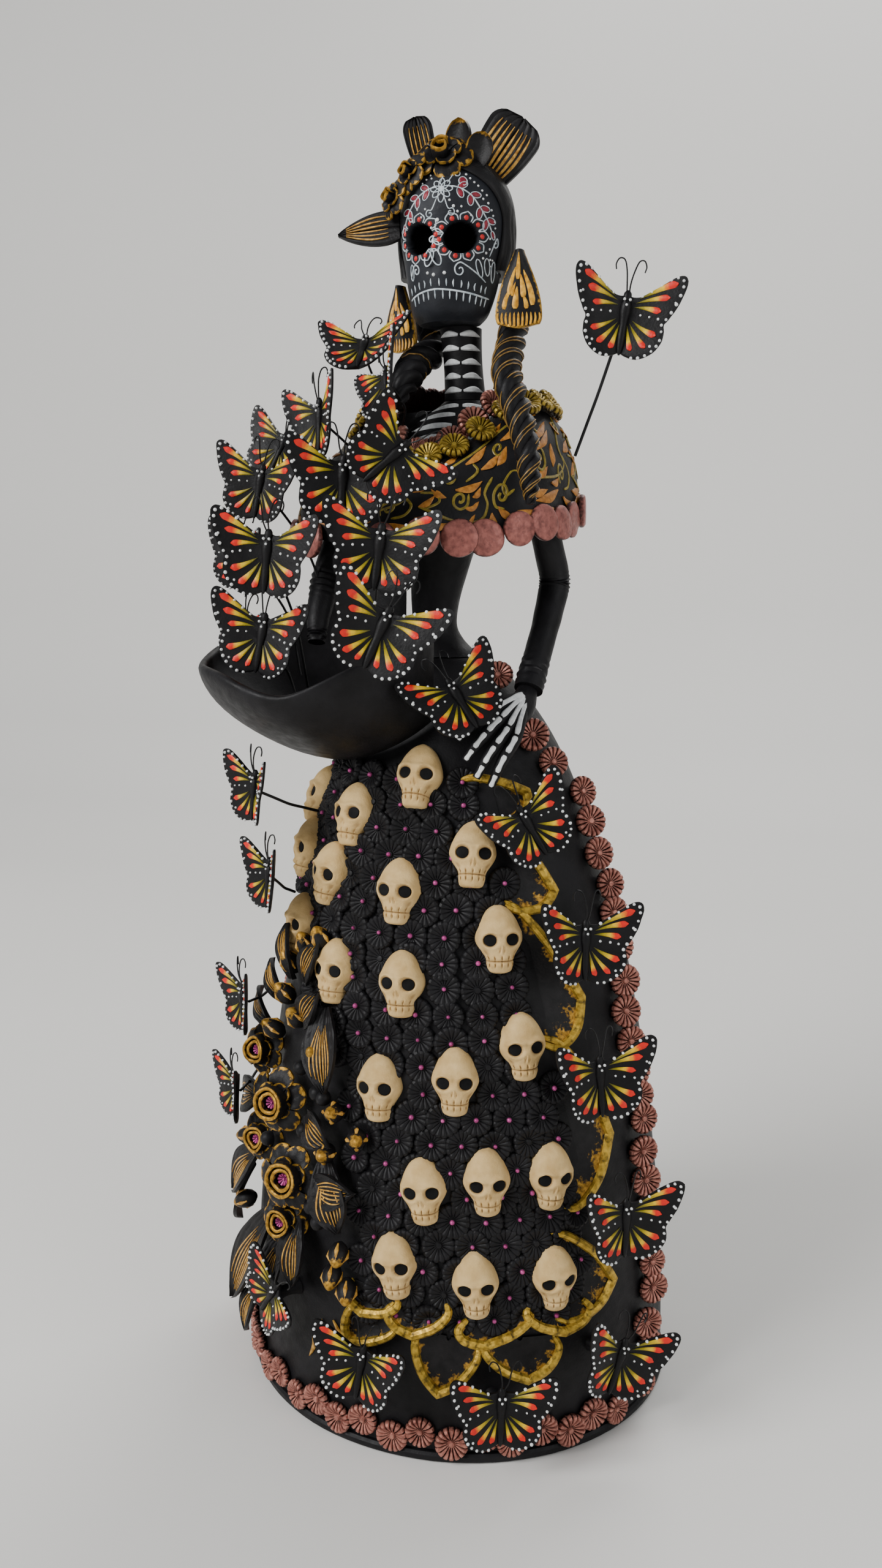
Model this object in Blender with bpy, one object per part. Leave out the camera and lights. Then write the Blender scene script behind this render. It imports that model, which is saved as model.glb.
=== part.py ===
"""Catrina figure in painted clay, with monarch butterflies on and around the dress.

Metres, +Z up. The figure faces -Y and the origin is the centre of the foot's underside.
Azimuth is measured in degrees from the front (-Y), positive towards +X.
"""

import math

import bmesh
import bpy
from mathutils import Matrix, Vector

# ---------------------------------------------------------------- driving dimensions
GAP = 0.0003
SEAT = 0.0008
BASE_X = 0.0905
BASE_Y = 0.0825
BASE_THICK = 0.0040
SKIRT_X = 0.0895
SKIRT_Y = 0.0810
SKIRT_APEX = 0.3060
SKIRT_TOP = 0.3015
SKIRT_POWER = 1.85
SKIRT_LEAN = 0.0040
SKIRT_WALL = 0.0040
TORSO_TOP = 0.4005
NECK_TOP = 0.4280
CHIN_Z = 0.4285
CROWN_Z = 0.4875
HEAD_X = -0.0025
HEAD_TURN = -3.0
SHEET = 0.0022
WING_THICK = 0.0016
WIRE_RADIUS = 0.0006

# Torso sections: height, centre x, centre y, half width, half depth
TORSO = [
    (SKIRT_TOP + GAP, -0.0080, 0.000, 0.0105, 0.0100),
    (0.316, -0.0105, 0.000, 0.0090, 0.0090),
    (0.332, -0.0090, 0.000, 0.0110, 0.0105),
    (0.350, -0.0050, 0.000, 0.0135, 0.0135),
    (0.368, -0.0030, 0.000, 0.0205, 0.0175),
    (0.382, -0.0015, 0.000, 0.0240, 0.0185),
    (0.392, 0.0000, 0.001, 0.0185, 0.0135),
    (TORSO_TOP, 0.0015, 0.002, 0.0090, 0.0085),
]

# Head sections: share of the height from chin to crown, half width, half depth, forward shift
HEAD = [
    (0.00, 0.0120, 0.0092, 0.0045),
    (0.06, 0.0147, 0.0128, 0.0040),
    (0.20, 0.0168, 0.0166, 0.0020),
    (0.35, 0.0184, 0.0190, 0.0010),
    (0.50, 0.0202, 0.0205, 0.0000),
    (0.66, 0.0208, 0.0215, 0.0000),
    (0.80, 0.0188, 0.0195, 0.0000),
    (0.91, 0.0135, 0.0145, 0.0000),
    (1.00, 0.0050, 0.0055, 0.0000),
]

# Edges of the rosette panel: height, left azimuth, right azimuth
PANEL_EDGE = [
    (0.0550, -11.0, 46.0),
    (0.0800, -13.0, 48.0),
    (0.1150, -16.0, 47.5),
    (0.1450, -20.0, 43.0),
    (0.1700, -36.5, 40.5),
    (0.2000, -61.0, 37.0),
    (0.2400, -80.0, 33.0),
    (0.2580, -83.0, 30.0),
]

# Skulls on the panel: azimuth, height, tilt in the plane of the skirt
SKULLS = [
    (-70, 0.244, 6), (-31, 0.242, 4), (-2, 0.258, -2), (-61, 0.224, 4), (-37, 0.219, -4),
    (-50, 0.196, 4), (-6, 0.217, 0), (20, 0.231, -4), (-27, 0.184, 4), (-3, 0.184, 2),
    (27, 0.201, 0), (32, 0.162, 2), (13, 0.150, 0), (-8, 0.145, 4), (5, 0.109, 6),
    (21, 0.113, 2), (38, 0.113, -3), (-2, 0.079, 8), (18, 0.074, 3), (38, 0.074, 2),
]
SKULL_HALF_WIDTH = 0.0088
SKULL_HALF_HEIGHT = 0.0124
SKULL_RELIEF = 0.0078

# Butterflies: name, place, facing azimuth, facing elevation, roll, span
BUTTERFLIES = [
    ("left_ear", (-0.032, -0.023, 0.418), -5, 48, -8, 0.037),
    ("by_neck", (-0.0165, -0.0425, 0.4020), -50, 15, -28, 0.034),
    ("left_shoulder", (-0.044, -0.038, 0.390), -38, 6, -6, 0.038),
    ("outer_top", (-0.067, -0.022, 0.382), -15, 20, 16, 0.034),
    ("outer_upper", (-0.063, -0.051, 0.366), -8, 6, 10, 0.036),
    ("breast", (-0.026, -0.063, 0.366), 14, 0, 4, 0.041),
    ("neckline", (-0.007, -0.067, 0.374), 22, -8, 50, 0.038),
    ("pouch_upper", (-0.0525, -0.0700, 0.3405), 2, 2, 6, 0.041),
    ("pouch_outer", (-0.078, -0.036, 0.340), -30, 4, 10, 0.036),
    ("waist_upper", (-0.008, -0.077, 0.342), 12, 2, 8, 0.041),
    ("in_pouch", (-0.059, -0.062, 0.311), -4, 4, 10, 0.040),
    ("pouch_left", (-0.080, -0.031, 0.310), -34, 6, 16, 0.036),
    ("pouch_front", (-0.006, -0.083, 0.315), 18, 4, 24, 0.042),
    ("waist_front", (0.013, -0.048, 0.289), 18, 24, -30, 0.039),
    ("skirt_1", (0.039, -0.044, 0.242), 34, 14, -28, 0.039),
    ("skirt_2", (0.061, -0.047, 0.199), 36, 10, 4, 0.041),
    ("skirt_3", (0.069, -0.055, 0.150), 36, 8, 0, 0.041),
    ("skirt_4", (0.080, -0.057, 0.096), 38, 4, 3, 0.041),
    ("skirt_5", (0.079, -0.060, 0.041), 38, 4, 20, 0.040),
    ("skirt_6", (0.039, -0.083, 0.028), 22, 4, 2, 0.041),
    ("skirt_7", (-0.014, -0.089, 0.040), -8, 4, 8, 0.040),
    ("skirt_8", (-0.056, -0.075, 0.054), -36, 4, 36, 0.036),
]

# Butterflies on spring wires: name, place, facing azimuth, elevation, roll, span, wire root
WIRED = [
    ("shoulder", (0.066, -0.020, 0.4245), 14, 2, 8, 0.040, (0.0468, -0.0060, 0.3785)),
    ("upper_left", (-0.069, -0.050, 0.251), -40, 6, 2, 0.036, (-0.0515, -0.0275, 0.2400)),
    ("middle_left", (-0.063, -0.052, 0.217), -46, 6, -2, 0.036, (-0.0625, -0.0275, 0.2055)),
    ("lower_left", (-0.078, -0.046, 0.163), -48, 4, -8, 0.036, (-0.0775, -0.0170, 0.1600)),
    ("bouquet", (-0.082, -0.048, 0.125), -50, 4, -4, 0.034, (-0.0850, -0.0170, 0.1230)),
]

# One half of a butterfly of span 1: outline from head to tail, and the body's line beside it
WING_OUTLINE = [
    (0.00, 0.200), (0.20, 0.260), (0.44, 0.400), (0.50, 0.370), (0.465, 0.180), (0.42, 0.010),
    (0.27, -0.030), (0.35, -0.110), (0.33, -0.290), (0.20, -0.390), (0.06, -0.300), (0.00, -0.280),
]
BODY_LINE = [0.200, 0.170, 0.130, 0.090, 0.050, 0.010, -0.030, -0.070, -0.120, -0.180, -0.240, -0.280]
WING_FOLD = math.radians(17.0)
BODY_DEPTH = 0.0022


# ---------------------------------------------------------------- general helpers
def clear_scene():
    for item in list(bpy.data.objects):
        bpy.data.objects.remove(item)


def material(name, colour, roughness, metallic=0.0):
    found = bpy.data.materials.get(name)
    if found:
        return found
    made = bpy.data.materials.new(name)
    made.use_nodes = True
    shader = made.node_tree.nodes["Principled BSDF"]
    shader.inputs["Base Color"].default_value = (*colour, 1.0)
    shader.inputs["Roughness"].default_value = roughness
    shader.inputs["Metallic"].default_value = metallic
    return made


def black_clay():
    return material("black_clay", (0.018, 0.017, 0.018), 0.75)


def bone_clay():
    return material("bone_clay", (0.70, 0.53, 0.34), 0.85)


def copper_paint():
    return material("copper_paint", (0.40, 0.17, 0.13), 0.45, 0.6)


def gold_paint():
    return material("gold_paint", (0.42, 0.30, 0.08), 0.45, 0.6)


def pink_paint():
    return material("pink_paint", (0.42, 0.20, 0.19), 0.6, 0.3)


def wing_paint():
    return material("wing_paint", (0.75, 0.25, 0.03), 0.6)


def wire_steel():
    return material("wire_steel", (0.03, 0.03, 0.03), 0.5, 0.5)


def interpolate(table, value):
    """Values of a table's other columns at a value of its first, straight between rows."""
    if value <= table[0][0]:
        return table[0][1:]
    for low, high in zip(table, table[1:]):
        if value <= high[0]:
            share = (value - low[0]) / (high[0] - low[0])
            return [a + (b - a) * share for a, b in zip(low[1:], high[1:])]
    return table[-1][1:]


def solid(name, points, faces, look, smooth=40.0):
    """A closed mesh object with its faces pointing out."""
    mesh = bpy.data.meshes.new(name)
    mesh.from_pydata([tuple(p) for p in points], [], faces)
    shape = bmesh.new()
    shape.from_mesh(mesh)
    bmesh.ops.remove_doubles(shape, verts=shape.verts, dist=0.000005)
    bmesh.ops.recalc_face_normals(shape, faces=shape.faces)
    shape.to_mesh(mesh)
    shape.free()
    mesh.shade_smooth()
    mesh.set_sharp_from_angle(angle=math.radians(smooth))
    mesh.materials.append(look)
    made = bpy.data.objects.new(name, mesh)
    bpy.context.collection.objects.link(made)
    return made


def loft(name, rings, look, smooth=40.0):
    """A solid through closed rings of equal length, capped at both ends."""
    count = len(rings[0])
    points = [p for ring in rings for p in ring]
    faces = [list(range(count)), list(range((len(rings) - 1) * count, len(rings) * count))]
    for row in range(len(rings) - 1):
        for i in range(count):
            j = (i + 1) % count
            a = row * count
            faces.append([a + i, a + j, a + count + j, a + count + i])
    return solid(name, points, faces, look, smooth)


def sheet(name, front, back, look, closed=False, smooth=40.0):
    """A solid between two grids of points (rows by columns); closed joins the columns' ends."""
    rows = len(front)
    columns = len(front[0])
    points = [p for grid in (front, back) for row in grid for p in row]
    offset = rows * columns
    faces = []
    last = columns if closed else columns - 1
    for i in range(rows - 1):
        for j in range(last):
            k = (j + 1) % columns
            quad = [i * columns + j, i * columns + k, (i + 1) * columns + k, (i + 1) * columns + j]
            faces.append(quad)
            faces.append([offset + index for index in reversed(quad)])
    for j in range(last):
        k = (j + 1) % columns
        bottom = (rows - 1) * columns
        faces.append([j, offset + j, offset + k, k])
        faces.append([bottom + j, bottom + k, offset + bottom + k, offset + bottom + j])
    if not closed:
        for i in range(rows - 1):
            a = i * columns
            b = (i + 1) * columns
            faces.append([a, b, offset + b, offset + a])
            end = columns - 1
            faces.append([a + end, offset + a + end, offset + b + end, b + end])
    return solid(name, points, faces, look, smooth)


def tube(name, path, radii, look, sides=8):
    """A round rod along a list of points, with a radius at each."""
    path = [Vector(p) for p in path]
    rings = []
    side = Vector((0.3, 0.2, 1.0))
    for i, point in enumerate(path):
        ahead = path[min(i + 1, len(path) - 1)] - path[max(i - 1, 0)]
        ahead.normalize()
        side = (side - ahead * side.dot(ahead)).normalized()
        other = ahead.cross(side)
        rings.append([
            point + (side * math.cos(turn) + other * math.sin(turn)) * radii[i]
            for turn in (math.tau * k / sides for k in range(sides))
        ])
    return loft(name, rings, look, 60.0)


def hide_tool(tool):
    tool.hide_render = True
    tool.display_type = "WIRE"


def boolean(target, tool, operation):
    hide_tool(tool)
    change = target.modifiers.new(operation.lower() + "_" + tool.name, "BOOLEAN")
    change.operation = operation
    change.object = tool
    change.solver = "EXACT"


def ellipse_ring(centre_x, centre_y, half_x, half_y, z, count):
    return [
        (centre_x + half_x * math.sin(turn), centre_y - half_y * math.cos(turn), z)
        for turn in (math.tau * k / count for k in range(count))
    ]


# ---------------------------------------------------------------- the skirt's surface
def skirt_point(azimuth, z, lift=0.0):
    """Point on the bell skirt at an azimuth and height, lifted along the surface's normal."""
    share = math.sqrt(max(1.0 - (max(z, 0.0) / SKIRT_APEX) ** SKIRT_POWER, 0.0))
    turn = math.radians(azimuth)
    lean = -SKIRT_LEAN * (max(z, 0.0) / SKIRT_APEX) ** 4
    x = SKIRT_X * share * math.sin(turn)
    y = -SKIRT_Y * share * math.cos(turn)
    slope = 0.5 * SKIRT_POWER * (max(z, 0.0) / SKIRT_APEX) ** (SKIRT_POWER - 1.0) / SKIRT_APEX
    normal = Vector((x / SKIRT_X ** 2, y / SKIRT_Y ** 2, slope)).normalized()
    return Vector((x + lean, y, z)) + normal * lift


def skirt_normal(azimuth, z):
    return (skirt_point(azimuth, z, 0.001) - skirt_point(azimuth, z)).normalized()


def skirt_grid(rows, lift):
    return [[skirt_point(azimuth, z, lift) for azimuth, z in row] for row in rows]


# ---------------------------------------------------------------- body
def base_plate():
    outer = [
        ellipse_ring(0, 0, BASE_X, BASE_Y, 0.0, 48),
        ellipse_ring(0, 0, BASE_X, BASE_Y, BASE_THICK - 0.001, 48),
        ellipse_ring(0, 0, BASE_X - 0.001, BASE_Y - 0.001, BASE_THICK, 48),
    ]
    loft("base_plate", outer, black_clay(), 30.0)


def skirt_heights(bottom, top, count):
    """Heights that crowd towards the top, where the bell curves most."""
    return [bottom + (top - bottom) * math.sin(math.pi / 2 * k / (count - 1)) for k in range(count)]


def skirt_shell():
    count = 32
    heights = skirt_heights(BASE_THICK + GAP, SKIRT_TOP, 13)
    azimuths = [360.0 * k / count for k in range(count)]
    rings = [[skirt_point(a, z) for a in azimuths] for z in heights]
    shell = loft("skirt_shell", rings, black_clay(), 30.0)
    hollow_heights = skirt_heights(BASE_THICK - 0.002, SKIRT_TOP - 0.010, 9)
    hollow = [[skirt_point(a, z, -SKIRT_WALL) for a in azimuths[::2]] for z in hollow_heights]
    boolean(shell, loft("skirt_hollow", hollow, black_clay()), "DIFFERENCE")


def torso():
    rings = [ellipse_ring(cx, cy, rx, ry, z, 16) for z, cx, cy, rx, ry in TORSO]
    loft("torso", rings, black_clay())


def neck():
    rings = [
        ellipse_ring(0.0015, 0.0025, 0.0082, 0.0082, TORSO_TOP + GAP, 12),
        ellipse_ring(0.0008, 0.0030, 0.0079, 0.0079, 0.414, 12),
        ellipse_ring(-0.0005, 0.0030, 0.0079, 0.0079, NECK_TOP, 12),
    ]
    loft("neck", rings, black_clay())


def ruffle_point(azimuth, share, lift=0.0):
    """Point on the ruffle: share 0 at the torso, 0.25 at the neckline, 1 at the hem."""
    turn = math.radians(azimuth)
    low = max(0.0, math.cos(turn + math.radians(16))) ** 2
    neck_z = 0.3975 - 0.0235 * low
    neck_r = 0.0285 - 0.0020 * math.cos(turn)
    hem_z = 0.3545 - 0.0080 * math.cos(turn + math.radians(20)) + 0.0012 * math.cos(7 * turn)
    bulge = max(0.0, math.cos(turn + math.radians(50))) ** 3
    hem_r = 0.0460 + 0.0190 * bulge + 0.0010 * math.cos(7 * turn)
    if share < 0.25:
        cx, cy, rx, ry = interpolate(TORSO, neck_z)
        inner = Vector((cx + (rx + 0.0019) * math.sin(turn), cy - (ry + 0.0019) * math.cos(turn),
                        neck_z + 0.0008))
        edge = Vector((neck_r * math.sin(turn), -neck_r * math.cos(turn), neck_z))
        place = inner.lerp(edge, share / 0.25)
        return place + Vector((0, 0, lift))
    bend = math.radians(90) * (share - 0.25) / 0.75
    radius = neck_r + (hem_r - neck_r) * math.sin(bend)
    z = neck_z + (hem_z - neck_z) * (1.0 - math.cos(bend))
    tilt = bend * 0.9
    out = Vector((math.sin(turn) * math.sin(tilt), -math.cos(turn) * math.sin(tilt), math.cos(tilt)))
    return Vector((radius * math.sin(turn), -radius * math.cos(turn), z)) + out * lift


def ruffle():
    azimuths = [360.0 * k / 40 for k in range(40)]
    shares = [0.0, 0.25, 0.45, 0.65, 0.85, 1.0]
    front = [[ruffle_point(a, s) for a in azimuths] for s in shares]
    back = [[ruffle_point(a, s, -SHEET) for a in azimuths] for s in shares]
    sheet("ruffle", front, back, black_clay(), closed=True)


def ruffle_band(name, azimuths, shares, inner, outer, look, closed=False):
    front = [[ruffle_point(a, s, outer) for a in azimuths] for s in shares]
    back = [[ruffle_point(a, s, inner) for a in azimuths] for s in shares]
    return sheet(name, front, back, look, closed=closed)


def ruffle_discs():
    """Overlapping discs that hang along the ruffle's hem, as one scalloped band."""
    count = 72
    front = []
    back = []
    for drop, lip in ((-0.0050, 1.0), (0.0060, 0.0)):
        row_front = []
        row_back = []
        for k in range(count):
            azimuth = 360.0 * k / count
            scallop = 0.0016 * abs(math.sin(math.radians(azimuth * 12)))
            place = ruffle_point(azimuth, 1.0)
            out = Vector((place.x, place.y, 0)).normalized()
            low = drop + (scallop - 0.0010 if lip < 0.5 else 0.0)
            centre = place + Vector((0, 0, -low))
            row_front.append(centre + out * 0.0028)
            row_back.append(centre + out * (GAP + 0.0002))
        front.append(row_front)
        back.append(row_back)
    sheet("ruffle_discs", front, back, pink_paint(), closed=True, smooth=20.0)


def neckline_bands():
    azimuths = [-150 + 300.0 * k / 30 for k in range(31)]
    ruffle_band("neckline_copper", azimuths, [0.03, 0.22], GAP + 0.0011, 0.0038, copper_paint())
    ruffle_band("neckline_gold", azimuths, [0.27, 0.36, 0.44], GAP, 0.0030, gold_paint())


def right_sleeve():
    path = [(0.0310, -0.0050, 0.3720), (0.0345, 0.0010, 0.3500), (0.0370, 0.0060, 0.3350),
            (0.0370, 0.0055, 0.3270), (0.0350, -0.0050, 0.3100), (0.0325, -0.0190, 0.2905)]
    tube("right_sleeve", path, [0.0056, 0.0060, 0.0060, 0.0060, 0.0054, 0.0056], black_clay(), 10)


def right_hand():
    """Palm and four fingers laid on the skirt, joined into one piece, with the thumb."""
    palm = tube("right_hand", [(0.0322, -0.0200, 0.2892), (0.0308, -0.0265, 0.2830),
                               (0.0260, -0.0355, 0.2765)], [0.0042, 0.0052, 0.0060], black_clay(), 8)
    knuckles = (0.0270, -0.0335, 0.2780)
    tips = [(0.0120, -0.0460, 0.2740), (0.0150, -0.0470, 0.2665), (0.0190, -0.0465, 0.2600),
            (0.0240, -0.0445, 0.2565)]
    for k, tip in enumerate(tips):
        middle = (Vector(knuckles) + Vector(tip)) / 2 + Vector((0.001, -0.004, 0.0015))
        finger = tube("finger_%d" % (k + 1), [knuckles, middle, tip], [0.0022, 0.0019, 0.0014],
                      black_clay(), 6)
        boolean(palm, finger, "UNION")


def left_arm():
    path = [(-0.0330, -0.0100, 0.3700), (-0.0430, -0.0130, 0.3520), (-0.0490, -0.0170, 0.3370),
            (-0.0505, -0.0250, 0.3200), (-0.0500, -0.0300, 0.3080)]
    tube("left_arm", path, [0.0056, 0.0060, 0.0058, 0.0050, 0.0030], black_clay(), 10)


# ---------------------------------------------------------------- pouch
POUCH_MIDDLE = -62.0
POUCH_RIGHT = -2.0
POUCH_BACK = -128.0
POUCH_REACH = 0.1020
POUCH_WALL = 0.0034


def pouch_profile(azimuth, inward):
    """Outline of the scoop at one azimuth, from where it leaves the skirt to its rim."""
    span = POUCH_RIGHT - POUCH_MIDDLE if azimuth > POUCH_MIDDLE else POUCH_MIDDLE - POUCH_BACK
    away = min(abs(azimuth - POUCH_MIDDLE) / span, 1.0)
    open_share = (1.0 - away ** 2) ** 0.8
    turn = math.radians(azimuth)
    if azimuth < POUCH_MIDDLE:
        rim_z = 0.2985 + 0.036 * away ** 1.5
    else:
        rim_z = 0.2985 - 0.0085 * math.exp(-((azimuth + 31.0) / 12.0) ** 2)
        rim_z += 0.010 * max(0.0, (azimuth + 31.0) / 29.0) ** 1.3
    foot_z = 0.2612 + 0.0183 * away ** 2
    foot = skirt_point(azimuth, foot_z, 0.0030)
    foot_r = math.hypot(foot.x, foot.y)
    rim_r = foot_r + (POUCH_REACH - foot_r) * open_share + 0.0020
    rim_r -= inward
    rows = []
    for k in range(6):
        share = math.sin(math.pi / 2 * k / 5)
        rise = 1.0 - (1.0 - share ** 1.6) ** (1.0 / 1.6)
        radius = foot_r + (rim_r - foot_r) * share
        z = foot_z + inward + (rim_z - foot_z - inward) * rise
        rows.append(Vector((radius * math.sin(turn), -radius * math.cos(turn), z)))
    return rows


def pouch():
    steps = 24
    azimuths = [POUCH_BACK + (POUCH_RIGHT - POUCH_BACK) * k / steps for k in range(steps + 1)]
    outer = [pouch_profile(a, 0.0) for a in azimuths]
    inner = [pouch_profile(a, POUCH_WALL) for a in azimuths]
    sheet("pouch", outer, inner, black_clay())


# ---------------------------------------------------------------- clay applied to the skirt
def panel_rows():
    rows = []
    for k in range(14):
        z = PANEL_EDGE[0][0] + (PANEL_EDGE[-1][0] - PANEL_EDGE[0][0]) * k / 13
        left, right = interpolate(PANEL_EDGE, z)
        rows.append([(left + (right - left) * i / 14, z) for i in range(15)])
    return rows


def rosette_panel():
    """The sheet of packed rosettes, with the skulls that are pressed into it."""
    rows = panel_rows()
    front = skirt_grid(rows, GAP + 0.0032)
    back = skirt_grid(rows, SEAT + 0.0002)
    panel = sheet("rosette_panel", front, back, black_clay())
    skulls = [skull_relief(k, *place) for k, place in enumerate(SKULLS)]
    for skull in skulls:
        boolean(panel, skull, "UNION")


def skull_relief(number, azimuth, z, tilt):
    """A small skull's plain outer shape, seated in the panel."""
    normal = skirt_normal(azimuth, z)
    across = Vector((0, 0, 1)).cross(normal).normalized()
    up = normal.cross(across)
    lean = math.radians(tilt)
    right = across * math.cos(lean) - up * math.sin(lean)
    top = up * math.cos(lean) + across * math.sin(lean)
    centre = skirt_point(azimuth, z, SEAT + 0.0012)
    rings = []
    for k in range(1, 5):
        height = -math.cos(math.pi * k / 5)
        width = math.sqrt(1.0 - height ** 2)
        width *= 0.92 + 0.22 * height if height < 0 else 0.92 + 0.10 * height
        ring = []
        for i in range(8):
            turn = math.tau * i / 8
            out = SKULL_RELIEF * width * math.cos(turn) * (1.0 if math.cos(turn) > 0 else 0.08)
            ring.append(centre + top * SKULL_HALF_HEIGHT * height
                        + right * SKULL_HALF_WIDTH * width * math.sin(turn) + normal * out)
        rings.append(ring)
    return loft("small_skull_%02d" % (number + 1), rings, bone_clay())


def petal_border():
    """Pointed petals down the panel's right edge and along its bottom, as one strip."""
    inner = []
    outer = []
    petals = 5
    steps = petals * 2
    for k in range(steps + 1):
        z = 0.262 + (0.070 - 0.262) * k / steps
        right = interpolate(PANEL_EDGE, z)[1]
        reach = 4.0 if k % 2 == 0 else 13.0
        inner.append((right + 0.5, z))
        outer.append((right + reach, z - 0.006))
    corner = PANEL_EDGE[0][2]
    inner.append((corner + 0.5, PANEL_EDGE[0][0] - 0.0006))
    outer.append((corner + 6.0, 0.040))
    petals = 4
    steps = petals * 2
    for k in range(1, steps + 1):
        azimuth = corner + (PANEL_EDGE[0][1] - corner) * k / steps
        inner.append((azimuth, PANEL_EDGE[0][0] - 0.0006))
        outer.append((azimuth - 1.0, 0.047 if k % 2 == 0 else 0.034))
    middle = [((a[0] + b[0]) / 2, (a[1] + b[1]) / 2) for a, b in zip(inner, outer)]
    rows = [inner, middle, outer]
    sheet("petal_border", skirt_grid(rows, GAP + 0.0030), skirt_grid(rows, SEAT), gold_paint(), smooth=20)


def rosette_band():
    """Copper rosettes up one side, round the hem and up the other side, as one ribbon."""
    side = 77.0
    far = -95.0
    half = 0.0056
    path = [(side, 0.264 - 0.234 * k / 12) for k in range(13)]
    path += [(side - 4.0, 0.017), (side - 11.0, 0.0108)]
    path += [(58.0 - 134.0 * k / 22, 0.0106) for k in range(23)]
    path += [(11.0 + far, 0.0108), (4.0 + far, 0.017)]
    path += [(far, 0.030 + 0.210 * k / 12) for k in range(13)]
    centres = [skirt_point(a, z) for a, z in path]
    normals = [skirt_normal(a, z) for a, z in path]
    front = [[], []]
    back = [[], []]
    for i, (centre, normal) in enumerate(zip(centres, normals)):
        ahead = centres[min(i + 1, len(centres) - 1)] - centres[max(i - 1, 0)]
        across = normal.cross(ahead).normalized()
        for row, side_sign in enumerate((-1.0, 1.0)):
            place = centre + across * half * side_sign
            front[row].append(place + normal * (GAP + 0.0026))
            back[row].append(place + normal * SEAT)
    sheet("rosette_band", front, back, copper_paint(), smooth=30)


def bouquet():
    """The mat of leaves and buds at the left, and the two largest roses on it."""
    rows = []
    edge = [(0.020, -60, -34), (0.040, -78, -18), (0.080, -84, -15), (0.110, -84, -18),
            (0.140, -80, -22), (0.163, -72, -36), (0.180, -66, -49)]
    for z, left, right in edge:
        rows.append([(left + (right - left) * i / 8, z) for i in range(9)])
    front = []
    for r, row in enumerate(rows):
        line = []
        for i, (azimuth, z) in enumerate(row):
            crown = math.sin(math.pi * i / 8) * math.sin(math.pi * (r + 0.5) / len(rows))
            line.append(skirt_point(azimuth, z, GAP + 0.0030 + 0.0050 * crown))
        front.append(line)
    sheet("bouquet_leaves", front, skirt_grid(rows, SEAT + 0.0008), black_clay(), smooth=30)
    rose("bouquet_rose_upper", -40.0, 0.129, 0.0088)
    rose("bouquet_rose_lower", -32.0, 0.103, 0.0088)


# height over the skirt and radius, from the rose's foot to its open top
ROSE_PROFILE = [(0.0, 0.006), (0.002, 0.0105), (0.005, 0.0125), (0.0072, 0.0110), (0.008, 0.005)]


def rose(name, azimuth, z, lift):
    normal = skirt_normal(azimuth, z)
    across = Vector((0, 0, 1)).cross(normal).normalized()
    up = normal.cross(across)
    centre = skirt_point(azimuth, z, lift)
    rings = []
    for height, radius in ROSE_PROFILE:
        rings.append([
            centre + normal * height + (across * math.cos(turn) + up * math.sin(turn)) * radius
            for turn in (math.tau * i / 12 for i in range(12))
        ])
    loft(name, rings, black_clay())


# ---------------------------------------------------------------- head
def head_ring(share, grow, count):
    half_x, half_y, forward = interpolate(HEAD, share)
    z = CHIN_Z + (CROWN_Z - CHIN_Z) * share
    if share <= 0.0:
        z -= grow
    if share >= 1.0:
        z += grow
    turn_head = Matrix.Rotation(math.radians(HEAD_TURN), 3, "Z")
    ring = []
    for k in range(count):
        turn = math.tau * k / count
        flat = Vector(((half_x + grow) * math.sin(turn), -(half_y + grow) * math.cos(turn) - forward, z))
        ring.append(turn_head @ flat + Vector((HEAD_X, 0, 0)))
    return ring


def head_body(name, grow, look, count=16):
    shares = [row[0] for row in HEAD]
    return loft(name, [head_ring(share, grow, count) for share in shares], look)


def head_frame(x, y, z):
    """A place given from the head's own front, in world metres."""
    turn_head = Matrix.Rotation(math.radians(HEAD_TURN), 3, "Z")
    return turn_head @ Vector((x, y, z)) + Vector((HEAD_X, 0, 0))


def box_tool(name, low, high):
    corners = [[head_frame(x, y, z) for x, y in ((low[0], low[1]), (high[0], low[1]),
                                                 (high[0], high[1]), (low[0], high[1]))]
               for z in (low[2], high[2])]
    return loft(name, corners, black_clay())


def skull_head():
    head = head_body("skull_head", 0.0, black_clay())
    for side in (-1, 1):
        rings = []
        for depth, radius in ((-0.030, 0.0060), (-0.012, 0.0050)):
            rings.append([
                head_frame(side * 0.0084 + radius * math.cos(turn), depth, 0.4575 + radius * math.sin(turn))
                for turn in (math.tau * i / 10 for i in range(10))
            ])
        boolean(head, loft("eye_socket_%s" % ("left" if side < 0 else "right"), rings, black_clay()),
                "DIFFERENCE")


def hair():
    cap = head_body("hair", 0.0030, black_clay())
    boolean(cap, head_body("hair_lining", GAP, black_clay()), "DIFFERENCE")
    boolean(cap, box_tool("face_opening", (-0.03, -0.04, 0.42), (0.03, -0.0035, 0.4795)), "DIFFERENCE")
    boolean(cap, box_tool("hair_end", (-0.03, -0.04, 0.42), (0.03, 0.04, 0.4470)), "DIFFERENCE")


def braid(name, path, radii):
    tube(name, path, radii, black_clay(), 8)


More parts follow.
